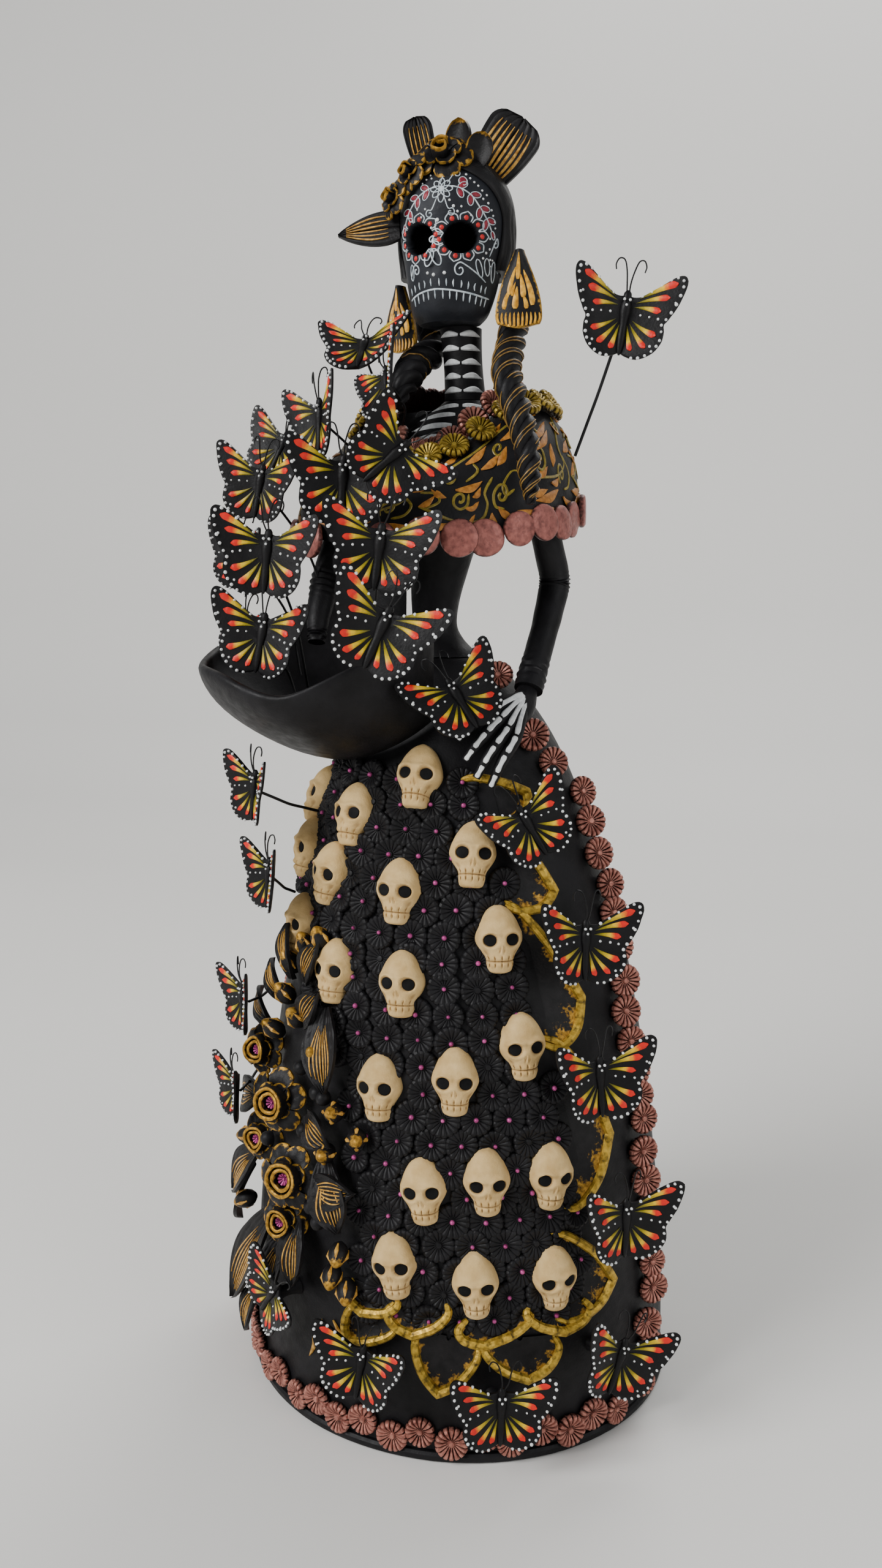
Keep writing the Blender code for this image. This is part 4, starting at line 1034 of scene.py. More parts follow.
def small_skull(number, azimuth, z, tilt):
    """A cast clay skull: egg cranium, narrow jaw, round eye holes, slit nose and two rows of teeth."""
    rng = random.Random(100 + number)
    mould = Mould("small_skull_%02d" % (number + 1), BISQUE, VOID)
    base = seat(skirt, azimuth, z, 0.0016, tilt, rng.uniform(-4, 4))
    outline = [
        (-1.0, .34, .55), (-.94, .50, .66), (-.75, .57, .80), (-.55, .60, .90), (-.38, .74, .90),
        (-.2, .90, .94), (0.0, 1.0, .98), (.2, .96, 1.0), (.4, .86, .96), (.6, .73, .88),
        (.8, .54, .70), (.92, .36, .52), (1.0, .14, .34),
    ]
    outline = curve_rows(outline)
    eyes = [(-0.47, 0.02), (0.47, 0.02)]
    eye_radius = 0.0023

    def surface(across, height, lift=0.0):
        wide, deep = interpolate(outline, height)
        turn = math.radians(90 * across)
        x = SKULL_HALF_WIDTH * wide * math.sin(turn)
        y = SKULL_HALF_HEIGHT * height
        out = SKULL_DEPTH * deep * max(math.cos(turn), 0.0) ** 0.75
        dent = 0.0
        for eye_x, eye_y in eyes:
            far = math.hypot(x - eye_x * SKULL_HALF_WIDTH, y - eye_y * SKULL_HALF_HEIGHT)
            edge = clamp((far - eye_radius * 0.75) / (eye_radius * 0.55))
            dent += 0.0018 * (1.0 - ease(edge))
            dent -= 0.0004 * math.exp(-((far - eye_radius * 1.45) / 0.0008) ** 2)
        for side in (-1, 1):
            slit_x = (x - side * 0.00065 - side * 0.0003 * (-0.27 - height) * 4) / 0.00034
            slit_y = (height + 0.27) / 0.10
            dent += 0.0009 * math.exp(-slit_x ** 2 - slit_y ** 2)
        dent -= 0.0009 * math.exp(-(x / 0.0013) ** 2 - ((height + 0.17) / 0.16) ** 2)
        dent -= 0.0007 * math.exp(-((height - 0.22) / 0.08) ** 2)
        dent += 0.0008 * math.exp(-((height + 0.63) / 0.024) ** 2)
        for line in (-0.53, -0.74):
            fade = math.exp(-((height - line) / 0.065) ** 2)
            dent += 0.0011 * fade * max(0.0, math.cos(across * 20)) ** 4
            dent -= 0.0004 * fade
        dent += 0.0006 * math.exp(-((abs(across) - 0.62) / 0.12) ** 2 - ((height + 0.35) / 0.13) ** 2)
        return base @ Vector((x, y, out - dent + lift)), dent

    columns = 52
    rows = 64
    front = []
    tints = []
    for r in range(rows + 1):
        height = -1.0 + 2.0 * r / rows
        line = [surface(-1.0 + 2.0 * c / columns, height) for c in range(columns + 1)]
        front.append([place for place, dent in line])
        # The tint follows the carving's depth, where the bisque paints shade.
        tints.append([clamp(dent / 0.0009) for place, dent in line])
    back = [[base @ Vector((*((base.inverted() @ p).xy), -0.0014)) for p in row] for row in front]
    mould.slab(front, back, BISQUE, tints)
    for eye_x, eye_y in eyes:
        wide, deep = interpolate(outline, eye_y)
        turn = math.asin(eye_x / wide)
        out = SKULL_DEPTH * deep * math.cos(turn) ** 0.75
        lean = Matrix.Rotation(turn * 0.5, 4, "Y")
        disc = base @ Matrix.Translation((eye_x * SKULL_HALF_WIDTH, eye_y * SKULL_HALF_HEIGHT,
                                          out - 0.0009)) @ lean
        rings = [[disc @ Vector((eye_radius * s * math.cos(a), eye_radius * s * math.sin(a), h))
                  for a in angles(24)]
                 for s, h in ((0.96, -0.0008), (1.0, 0.0), (0.85, 0.00012), (0.3, 0.0002))]
        mould.loft(rings, VOID)
    mould.build("bisque_clay")


def border_petal(mould, left, tip, right, bulge, lift=0.0010):
    """A rounded clay petal that lies on the skirt, with a rolled rim and gold brushed inwards from it."""
    left, tip, right = (Vector((*p, 0.0)) for p in (left, tip, right))
    middle = (left + right) / 2
    rim_lift = lift + 0.0018
    sides = []
    for corner in (left, right):
        away = (corner - middle) * bulge
        near = corner.lerp(tip, 0.30) + away * 0.55
        far = corner.lerp(tip, 0.72) + away * 0.60
        sides.append(curve([corner + Vector((0, 0, lift)), near + Vector((0, 0, rim_lift)),
                            far + Vector((0, 0, rim_lift)), tip + Vector((0, 0, rim_lift))], 8))
    ring = sides[0] + sides[1][-2::-1]
    count = len(ring) - 1
    grid = []
    tints = []
    for share, gold in ((1.0, 0.85), (0.90, 0.66), (0.76, 0.42), (0.55, 0.16), (0.3, 0.0), (0.08, 0.0)):
        row = []
        for p in ring:
            spot = middle.lerp(p, share)
            row.append((spot.x, spot.y, lift * 0.6 + (p.z - lift * 0.6) * share ** 3))
        grid.append(row)
        tints.append([gold * (0.78 + 0.22 * math.sin(i * 0.9)) * min(i, count - i, 5) / 5
                      for i in range(count + 1)])
    mould.slab([[skirt(u, v, h) for u, v, h in row] for row in grid],
               [[skirt(u, v, h - 0.0013) for u, v, h in row] for row in grid], GILDED, tints)
    line = [skirt(p.x, p.y, p.z + 0.0002) for p in ring]
    radii = [0.0008 + 0.0011 * math.sin(math.pi * i / count) ** 0.5 for i in range(count + 1)]
    mould.rope(line, radii, RIMGOLD, 8, [0.72 + 0.25 * math.sin(i * 1.7) for i in range(count + 1)])


# Petals as left corner, tip and right corner, each (azimuth, height), and how far the sides bulge
BORDER_PETALS = [
    ((17, .2575), (46, .252), (33, .242), 0.5), ((29, .242), (49, .216), (29, .2135), 0.5),
    ((30, .214), (53, .176), (38, .162), 0.45), ((39, .164), (58, .123), (40, .100), 0.45),
    ((37, .091), (56, .066), (38, .0565), 0.5), ((20, .0515), (31, .0345), (38, .0500), 0.6),
    ((4, .0540), (9, .0300), (19, .0500), 0.5), ((-12, .0600), (-14, .0440), (-1, .0540), 0.5),
]
INNER_PETALS = [
    ((-2, .0640), (3, .0530), (11, .0660), 0.8), ((16, .0600), (20, .0505), (31, .0620), 0.8),
    ((-13, .0690), (-10, .0580), (-1, .0660), 0.8), ((31, .0640), (40, .0520), (46, .0620), 0.8),
]


def petal_border():
    mould = Mould("petal_border_looks", GILDED, RIMGOLD)
    for left, tip, right, bulge in BORDER_PETALS:
        border_petal(mould, left, tip, right, bulge)
    for left, tip, right, bulge in INNER_PETALS:
        border_petal(mould, left, tip, right, bulge, 0.0022)
    mould.build("gold_paint", replaces=["petal_border"])


# The rosettes down the right side, as (azimuth, height)
SIDE_ROSETTES = [
    (57, .293), (60.5, .2715), (67.5, .261), (84, .248), (81, .237), (79, .225), (81, .2125),
    (78, .202), (77, .189), (76, .176), (73, .165), (72.5, .153), (73.5, .141), (74, .131),
    (74.5, .121), (73, .109), (73, .097), (74, .085), (74, .073), (74, .062), (73.5, .051),
    (70.5, .039), (72, .027), (66, .0155),
]


def copper_band():
    """Stamped rosettes down both sides, tipped towards the front, and round the hem."""
    rng = random.Random(21)
    mould = Mould("rosette_band_looks", COPPER, CLAY)
    shape = rosette_shape(0.0063, 0.0028, 16)
    back = bead_shape(0.0040, 16)
    places = [(azimuth, z, -34) for azimuth, z in SIDE_ROSETTES]
    places += [(57.5 - 7.5 * k, 0.0085 + 0.0035 * (k % 2), 0) for k in range(19)]
    places += [(-95 + rng.uniform(-2, 2), 0.022 + 0.0118 * k, 34) for k in range(19)]
    places += [(-86, .0115, 12)]
    for azimuth, z, aside in places:
        lift = 0.0002 + 0.0028 * abs(aside) / 34
        base = seat(skirt, azimuth + rng.uniform(-0.6, 0.6), z, lift)
        base = base @ turned(aside, "Y")
        base = base @ Matrix.Rotation(rng.uniform(0, 6.28), 4, "Z")
        base = base @ turned(rng.uniform(-5, 5), "X")
        mould.stamp(shape, base, COPPER, rng.uniform(0.94, 1.05))
        if aside:
            mould.stamp(back, seat(skirt, azimuth, z, -0.0010), CLAY)
    mould.build("copper_paint", replaces=["rosette_band"])


# ---------------------------------------------------------------- head
FACE_U = 2790.0  # degrees of azimuth to a metre across the face
SOCKETS = [(26.0, 0.4566), (-25.0, 0.4570)]
SOCKET_X = 0.0074
SOCKET_Z = 0.0056


def socket_depth(azimuth, z):
    """How deep the eye sockets are at a place, from 0 at their rim to 1 on their floor."""
    depth = 0.0
    for centre, height in SOCKETS:
        far = math.hypot((azimuth - centre) / FACE_U / SOCKET_X, (z - height) / SOCKET_Z)
        edge = clamp((far - 0.80) / 0.22)
        depth += 1.0 - ease(edge)
    return min(depth, 1.0)


def face_point(azimuth, z):
    """The skull with its carved sockets and nose hollow."""
    dent = 0.0060 * socket_depth(azimuth, z)
    dent += 0.0010 * math.exp(-((azimuth + 6) / 6.0) ** 2 - ((z - 0.4478) / 0.0026) ** 2)
    return head(azimuth, z, -dent)


def loop(centre, length, width, angle, unit):
    """Outline of a petal: starts and ends at the centre point and points along the angle."""
    knots = []
    way = math.radians(angle)
    for k in range(9):
        turn = math.tau * k / 8
        along = length * 0.5 * (1 - math.cos(turn))
        across = width * 0.5 * math.sin(turn)
        x = along * math.cos(way) - across * math.sin(way)
        y = along * math.sin(way) + across * math.cos(way)
        knots.append((centre[0] + x * unit[0], centre[1] + y * unit[1]))
    return knots


def skull_head():
    mould = Mould("skull_head_looks", FACE, LINE, RED, WINE, WHITE)
    heights = [CHIN_Z + (CROWN_Z - CHIN_Z) * r / 110 for r in range(111)]
    # The tint is the sockets' depth, where the face material paints shade.
    mould.loft([[face_point(a, z) for a in circle(210, -180)] for z in heights], FACE,
               [[min(socket_depth(a, z) * 2.0, 1.0) for a in circle(210, -180)] for z in heights])
    thin = STROKE
    unit = (FACE_U, 0.94)

    def line(path, half=thin, steps=5):
        mould.brush(head, path, half, LINE, 0.00022, (0.6, 0.6), steps=steps)

    def leaflet(centre, length, width, angle):
        way = math.radians(angle)
        path = [(centre[0] + length * s * math.cos(way) * unit[0],
                 centre[1] + length * s * math.sin(way) * unit[1])
                for s in (0.08, 0.55, 0.92)]
        mould.brush(head, path, [width * 0.20, width * 0.42, width * 0.12], WINE, 0.00020, (0.5, 0.3))
        line(loop(centre, length, width, angle, unit), thin * 0.85, 4)

    for centre in SOCKETS:
        for k in range(10):
            angle = 6 + 36 * k
            way = math.radians(angle)
            near = (centre[0] + 1.16 * SOCKET_X * math.cos(way) * unit[0],
                    centre[1] + 1.19 * SOCKET_Z * math.sin(way))
            side = []
            for turn, reach in ((-0.27, 1.02), (-0.23, 1.34), (0.0, 1.56), (0.23, 1.34), (0.27, 1.02)):
                a = way + turn
                side.append((centre[0] + reach * SOCKET_X * math.cos(a) * unit[0],
                             centre[1] + reach * SOCKET_Z * math.sin(a)))
            mould.brush(head, side[:3], [thin, thin * 1.2, thin], LINE, 0.00022, (0.7, 0.8))
            mould.brush(head, side[2:], [thin, thin * 1.2, thin], LINE, 0.00022, (0.8, 0.7))
            mould.dot(head, near[0], near[1], 0.00092, RED, 0.0004, 10)
    flower = (5.0, 0.4732)
    for k in range(8):
        petal = loop(flower, 0.0052 if k == 6 else 0.0043, 0.0023, 45 * k, unit)
        mould.brush(head, petal, thin, LINE, 0.0002, (1, 1), steps=4)
    button = loop((flower[0] - 3, flower[1]), 0.0021, 0.0019, 0, unit)
    mould.brush(head, button, thin * 1.3, LINE, 0.0003, (1, 1), steps=4)
    branches = [
        ([(11, .4742), (23, .4736), (36, .4712), (46, .4669), (54, .4633), (61, .4597)], 1),
        ([(-1, .4740), (-10, .4734), (-22, .4712), (-33, .4672), (-42, .4632)], -1),
    ]
    for path, way in branches:
        line(path, thin * 1.3, 8)
        spots = curve(path, 4)
        for i in range(4, len(spots) - 1, 4):
            here, ahead = spots[i], spots[i + 1]
            run = math.degrees(math.atan2((ahead[1] - here[1]) / unit[1], (ahead[0] - here[0]) / unit[0]))
            for turn in (-48, 48):
                leaflet(here, 0.0042, 0.0023, run + turn)
        end, before = spots[-1], spots[-2]
        run = math.degrees(math.atan2((end[1] - before[1]) / unit[1], (end[0] - before[0]) / unit[0]))
        leaflet(end, 0.0034, 0.0018, run)
    mould.brush(head, loop((27, .4745), 0.0036, 0.0034, 70, unit), thin, LINE, 0.0002, (1, 1), steps=4)
    mould.dot(head, 28.5, .4762, 0.0014, WINE, 0.0003, 12)
    for centre, start, turns in (
            ((23, .4795), 200, 1.1), ((1, .4800), -20, -1.1), ((-7, .4646), 60, 1.2),
            ((15, .4648), 120, -1.2)):
        path = spiral(centre, 0.0018, start, turns, unit, 8)
        line([(flower[0] + (centre[0] - flower[0]) * 0.35,
               flower[1] + (centre[1] - flower[1]) * 0.35)] + path, thin, 4)
    for centre, start, turns, reach, tail in (
            ((27, .4453), 40, 1.3, .0030, (64, .4420)), ((-31, .4462), 130, -1.2, .0022, (-44, .4440)),
            ((70, .4556), 90, -1.1, .0019, (64, .4510)), ((-6, .4558), 60, 0.8, .0014, (-6, .4530))):
        line([tail] + spiral(centre, reach, start, turns, unit, 8), thin * 1.25, 5)
    for centre, length, width, angle in (
            ((47, .4494), .0072, .0026, -62), ((60, .4502), .0066, .0030, -70),
            ((73, .4498), .0080, .0028, -78), ((-38, .4488), .0060, .0024, -100),
            ((84, .4520), .0060, .0024, -80)):
        line(loop(centre, length, width, angle, unit), thin, 4)
    for angle in (-118, -62):
        line(loop((-6, .4528), 0.0068, 0.0036, angle, unit), thin * 1.25, 5)
    dots = [
        (1, .4625, 1.5), (-14, .4448, 1.2), (-6, .4440, 1.4), (8, .4444, 1.4), (-6, .4600, 1.0),
        (14, .4690, 1.0), (18, .4669, 1.2), (22, .4651, 1.0), (26, .4668, 0.9), (-12, .4665, 0.9),
        (-17, .4640, 0.9), (-22, .4668, 0.8), (34, .4789, 1.0), (38, .4774, 0.9), (42, .4760, 0.9),
        (46, .4748, 0.9), (50, .4732, 0.9), (50, .4702, 0.9), (55, .4718, 0.9), (56, .4690, 1.0),
        (60, .4668, 0.9), (62, .4650, 0.9), (64, .4630, 0.8), (66, .4610, 0.8), (60, .4570, 0.9),
        (66, .4580, 0.8), (62, .4535, 1.0), (58, .4520, 1.1), (55, .4500, 1.0), (66, .4500, 0.9),
        (70, .4500, 0.8), (68, .4478, 0.7), (-12, .4790, 0.8), (-16, .4775, 0.8), (-20, .4762, 0.7),
        (-9, .4776, 0.8), (-45, .4600, 0.8), (-50, .4560, 0.8), (36, .4640, 0.8), (46, .4590, 0.8),
    ]
    for azimuth, z, size in dots:
        mould.dot(head, azimuth, z, 0.00048 * size, WHITE, 0.0004)
    mouth = [
        (-54, .4368), (-32, .4382), (-8, .4390), (12, .4386), (40, .4376), (62, .4368), (78, .4366),
    ]
    line(mouth, thin * 1.7, 6)
    rng = random.Random(3)
    for k in range(13):
        azimuth = -48 + 9.6 * k + rng.uniform(-1, 1)
        mouth_z = interpolate(mouth, azimuth)[0]
        top = mouth_z + 0.0012
        line([(azimuth, top + 0.0026), (azimuth + rng.uniform(-1, 1), top + 0.0014), (azimuth, top)],
             [thin * 0.7, thin * 1.5, thin * 0.6])
        azimuth += 4.4
        low = interpolate(mouth, azimuth)[0] - 0.0002
        line([(azimuth, low), (azimuth, low - 0.0016), (azimuth, low - 0.0030)],
             [thin * 0.9, thin * 1.4, thin * 0.6])
    mould.build("painted_bone", replaces=["skull_head"])


def hair_limit(z):
    """Azimuth on each side of the face's middle where the hair begins, at a height."""
    if z < 0.462:
        return 78.0
    share = min((z - 0.462) / 0.0205, 1.0)
    return max(78.0 * math.sqrt(1.0 - share * share), 0.3)


def hair_rise(azimuth, z):
    """How full the hair is, from 0 at the hairline to 1 behind it."""
    side = abs((azimuth + 180.0) % 360.0 - 180.0)
    beside = (side - hair_limit(z)) / 20.0 if z < 0.4825 else 1.0
    above = (z - 0.462 - 0.0205 * math.sqrt(1.0 - (side / 78.0) ** 2)) / 0.006 if side < 78.0 else 1.0
    return math.sqrt(clamp(min(beside, above)))


def hair_cap():
    mould = Mould("hair_looks", HAIR)
    columns = 260
    heights = [0.4470 + (CROWN_Z - 0.4470) * math.sin(math.pi / 2 * k / 48) for k in range(49)]
    front = []
    back = []
    for z in heights:
        limit = hair_limit(z)
        outer = []
        inner = []
        for k in range(columns + 1):
            azimuth = limit + (360.0 - 2 * limit) * k / columns
            rise = hair_rise(azimuth, z)
            groove = abs(math.sin(math.radians(azimuth * 24 + 60 * math.sin(z * 260)))) ** 0.7
            flare = clamp((0.466 - z) / 0.019)
            thick = 0.0007 + 0.0017 * rise + 0.0016 * flare * rise + 0.00030 * groove * rise
            outer.append(head(azimuth, z, thick + waver(head(azimuth, z), 0.01, 0.0003)))
            inner.append(head(azimuth, z, GAP))
        front.append(outer)
        back.append(inner)
    for row, drop in ((front, 0.0006), (back, -0.0003)):
        middle = sum(row[-1], Vector()) / len(row[-1])
        row.append([middle.lerp(p, 0.05) + Vector((0, 0, drop)) for p in row[-1]])
    mould.slab(front, back, HAIR)
    mould.build("black_clay", replaces=["hair"])


# The middle line of each braid and its radius at each knot
BRAIDS = {
    "braid_right": ([(0.0185, 0.0110, 0.4460), (0.0200, 0.0080, 0.4340), (0.0215, -0.0060, 0.4200),
                     (0.0235, -0.0220, 0.4080), (0.0290, -0.0320, 0.3960), (0.0345, -0.0390, 0.3820),
                     (0.0370, -0.0420, 0.3680), (0.0375, -0.0430, 0.3590)],
                    [0.0045, 0.0055, 0.0056, 0.0056, 0.0054, 0.0048, 0.0038, 0.0018]),
    "braid_left": ([(-0.0205, 0.0190, 0.4440), (-0.0185, 0.0170, 0.4340), (-0.0132, 0.0096, 0.4225),
                    (-0.0150, -0.0100, 0.4140), (-0.0145, -0.0240, 0.4060), (-0.0150, -0.0325, 0.3960)],
                   [0.0045, 0.0058, 0.0060, 0.0062, 0.0056, 0.0022]),
}


def braid(name, gold):
    """A rope of three clay strands, with thin gold lines brushed along each strand."""
    path, radii = BRAIDS[name]
    mould = Mould(name + "_looks", CLAY, BRAIDGOLD)
    tube = tube_surface(path, radii, (0.3, -0.9, 0.2), 12)
    length = sum((Vector(b) - Vector(a)).length for a, b in zip(path, path[1:]))

    def strand_surface(strand):
        def surface(angle, share, lift=0.0):
            twist = 120.0 * strand + 360.0 * share * length / 0.021
            core = (tube(0, share) + tube(180, share)) / 2
            out = tube(twist, share) - core
            radius = out.length
            out = out.normalized()
            ahead = (tube(0, min(share + 0.01, 1.0)) - tube(0, max(share - 0.01, 0.0))).normalized()
            side = ahead.cross(out).normalized()
            turn = math.radians(angle)
            way = out * math.cos(turn) + side * math.sin(turn)
            return core + out * radius * 0.42 + way * (radius * 0.60 + lift)
        return surface

    for strand in range(3):
        surface = strand_surface(strand)
        mould.loft([[surface(a, r / 96) for a in circle(14)] for r in range(97)], CLAY)
        for angle in (-34, 8):
            if gold:
                pieces = [(0.02, 0.26), (0.29, 0.52), (0.55, 0.75), (0.78, 0.97)]
            else:
                pieces = [(0.34, 0.42)] if angle > 0 else [(0.60, 0.70)]
            for low, high in pieces:
                knots = [(angle + 5 * math.sin(k * 2.3 + strand), low + (high - low) * k / 10)
                         for k in range(11)]
                halves = [0.00017 + 0.00009 * (k % 2) for k in range(11)]
                mould.brush(surface, knots, halves, BRAIDGOLD, 0.0002, (0.3, 0.3), steps=4)
    mould.build("black_gold_clay", replaces=[name])


def earring(name, top, drop, face, half_top, half_bottom):
    """A folded wing of clay with gold teardrops and a gold fringe along its lower edge."""
    mould = Mould(name + "_looks", GILDED, EARGOLD)
    turn = Matrix.Rotation(math.radians(face), 3, "Z")

    def surface(across, share, lift=0.0):
        half = half_top + (half_bottom - half_top) * math.sin(math.pi / 2 * min(share / 0.88, 1.0)) ** 1.1
        if share > 0.88:
            half *= 1.0 - 0.10 * ((share - 0.88) / 0.12) ** 2
        depth = 0.0022 - 0.0026 * across * across
        low = 0.0012 * math.cos(across * 2.2) * max(share - 0.8, 0) / 0.2
        flat = Vector((half * across, -depth - lift, -drop * share - low))
        return Vector(top) + turn @ flat

    columns, rows = 24, 40
    front = [[surface(-1 + 2 * c / columns, r / rows) for c in range(columns + 1)] for r in range(rows + 1)]
    back = [[p + turn @ Vector((0, 0.0018, 0)) for p in row] for row in front]
    tints = [[max(0.0, (abs(-1 + 2 * c / columns) - 0.72) / 0.28) * 0.7
              + max(0.0, (r / rows - 0.93) / 0.07) * 0.7
              for c in range(columns + 1)] for r in range(rows + 1)]
    mould.slab(front, back, GILDED, tints)
    for across, low, high, half in (
            (-0.05, .05, .40, .0009), (-0.45, .24, .60, .0011), (0.22, .34, .64, .0012),
            (-0.62, .50, .79, .0011), (0.60, .28, .74, .0014), (-0.14, .50, .79, .0013),
            (-0.30, .44, .62, .0007), (0.34, .60, .79, .0010)):
        middle = (low + high) / 2
        mould.brush(surface, [(across * 0.6, low), (across * 0.9, middle), (across, high)],
                    [half * 0.30, half * 0.8, half], EARGOLD, 0.0003, (0.3, 0.5))
    for k in range(11):
        across = -0.90 + 0.18 * k
        mould.brush(surface, [(across * 0.97, 0.83), (across, 0.90), (across, 0.985)],
                    [0.00025, 0.00045, 0.0005], EARGOLD, 0.0003, (0.3, 0.8))
    mould.build("black_gold_clay", replaces=[name])


def leaf(mould, base, tip, facing, half_width, veins, thick, widest, cup, bow, point=0.8, grooves=7,
         foot=0.3, along=False):
    """A clay leaf with knife grooves and gold veins, brushed from the midrib outwards or along it."""
    surface = plate_surface(base, tip, facing, half_width, widest, cup, bow, point, foot)
    columns, rows = 28, 30
    front = []
    back = []
    tints = []
    for r in range(rows + 1):
        share = r / rows
        line = []
        under = []
        tint = []
        for c in range(columns + 1):
            side = -1 + 2 * c / columns
            wave = abs(math.sin(math.pi * (side * grooves * 0.5 + (0 if along else 1.6 * share))))
            midrib = 0.0005 * math.exp(-(side / 0.07) ** 2)
            groove = -0.00042 * (1 - wave) ** 2 * min(share * 6, 1) - midrib
            edge = max(abs(side), share)
            line.append(surface(share, side, thick / 2 * (1 - 0.5 * edge ** 6) + groove))
            under.append(surface(share, side, -thick / 2))
            tint.append(0.06 * wave * share)
        front.append(line)
        back.append(under)
        tints.append(tint)
    mould.slab(front, back, GILDED, tints)

    def skin(share, side, lift=0.0):
        return surface(share, side, thick / 2 * 0.9 + lift)

    for k in range(veins):
        spot = (k + 0.5) / veins * 2 - 1
        if along:
            path = [(0.18, spot * 0.75), (0.5, spot * 0.80), (0.86, spot * 0.70)]
            width = half_width * 0.055
        else:
            path = [(0.20 + 0.12 * (1 - abs(spot)), spot * 0.30), (0.55, spot * 0.66),
                    (0.90 - 0.12 * abs(spot), spot * 0.86)]
            width = half_width * 0.045
        mould.brush(skin, path, [width * 0.4, width, width * 0.45], LEAFGOLD, 0.00025, (0.3, 0.4))


def bloom(mould, base, radius, petals, seed, scroll=True):
    """A clay rose along the base's z: two rounds of curled petals with gilded rims, and a rolled middle."""
    rng = random.Random(seed)
    rounds = ((1.0, 0.34, 0.36, petals), (0.66, 0.52, 0.16, petals - 1))
    for layer, (reach, rise, curl, count) in enumerate(rounds):
        for k in range(count):
            heading = math.tau * k / count + layer * 0.5 + rng.uniform(-0.1, 0.1)
            half = math.pi / count * 1.28
            size = radius * reach * rng.uniform(0.93, 1.05)
            lift = radius * (0.05 * (k % 2) + 0.02 * layer)
            front = []
            back = []
            tints = []
            for r in range(11):
                s = r / 10
                line = []
                under = []
                tint = []
                for c in range(15):
                    t = -1 + c / 7
                    far = size * (0.14 + 0.86 * s * (1 - 0.26 * t * t))
                    turn = heading + t * half * (0.72 + 0.28 * s) * (1 - 0.20 * s * t * t)
                    height = lift + size * (rise * s - curl * s ** 3 + 0.16 * s * t * t) \
                        - radius * 0.022 * s * (1 - abs(math.sin(t * PETAL_STRIPES / 2)))
                    line.append(base @ Vector((far * math.cos(turn), far * math.sin(turn), height)))
                    under.append(base @ Vector((far * 0.985 * math.cos(turn), far * 0.985 * math.sin(turn),
                                                height - radius * 0.085)))
                    brushed = 0.5 + 0.5 * math.sin(t * PETAL_STRIPES)
                    tint.append(max(0.0, (s - 0.76) / 0.24) * (0.42 + 0.50 * brushed) + 0.04 * s)
                front.append(line)
                back.append(under)
                tints.append(tint)
            mould.slab(front, back, GILDED, tints)
    if scroll:
        rings = []
        tints = []
        for r in range(31):
            s = r / 30
            angle = 1.0 + s * math.tau * 1.25
            reach = radius * (0.34 - 0.22 * s)
            middle = Vector((reach * math.cos(angle), reach * math.sin(angle), 0))
            out = middle.normalized()
            ring = []
            tint = []
            for x, z in (
                    (-0.035, 0.05), (0.035, 0.05), (0.05, 0.40), (0.035, 0.56), (0.0, 0.60),
                    (-0.035, 0.55), (-0.04, 0.4)):
                ring.append(base @ (middle + out * radius * x
                                    + Vector((0, 0, radius * z * (1 + 0.05 * math.sin(s * 20))))))
                tint.append(0.95 if z > 0.5 else 0.1)
            rings.append(ring)
            tints.append(tint)
        mould.loft(rings, GILDED, tints)


def facing_frame(place, azimuth, elevation, roll):
    """Frame with x to the viewer's right, y towards the head of what stands in it, z out of its front."""
    a, e, r = (math.radians(v) for v in (azimuth, elevation, roll))
    out = Vector((math.sin(a) * math.cos(e), -math.cos(a) * math.cos(e), math.sin(e)))
    up = (Vector((0, 0, 1)) - out * out.z).normalized()
    right = up.cross(out)
    top = up * math.cos(r) + right * math.sin(r)
    side = right * math.cos(r) - up * math.sin(r)
    frame_matrix = Matrix((side, top, out)).transposed().to_4x4()
    frame_matrix.translation = Vector(place)
    return frame_matrix


# The headdress's leaves: name, base, tip, facing, half width, veins and leaf()'s other numbers
CROWN_LEAVES = [
    ("crown_leaf_right", (0.0050, 0.0020, 0.4775), (0.0230, 0.0060, 0.5030), (0.2, -0.97, 0.1),
     0.0110, 8, 0.0024, 0.80, 0.10, 0.0, 0.32, 7, 0.55),
    ("crown_wing_left", (-0.0110, -0.0045, 0.4800), (-0.0157, -0.0075, 0.5028), (0.1, -0.97, 0.1),
     0.0056, 5, 0.0022, 0.80, 0.16, 0.0, 0.30, 7, 0.45),
    ("crown_leaf_left", (-0.0215, -0.0088, 0.4645), (-0.0454, -0.0115, 0.4618), (-0.1, -0.95, 0.25),
     0.0068, 6, 0.0022, 0.25, 0.10, 0.0, 0.8, 6, 0.8),
]


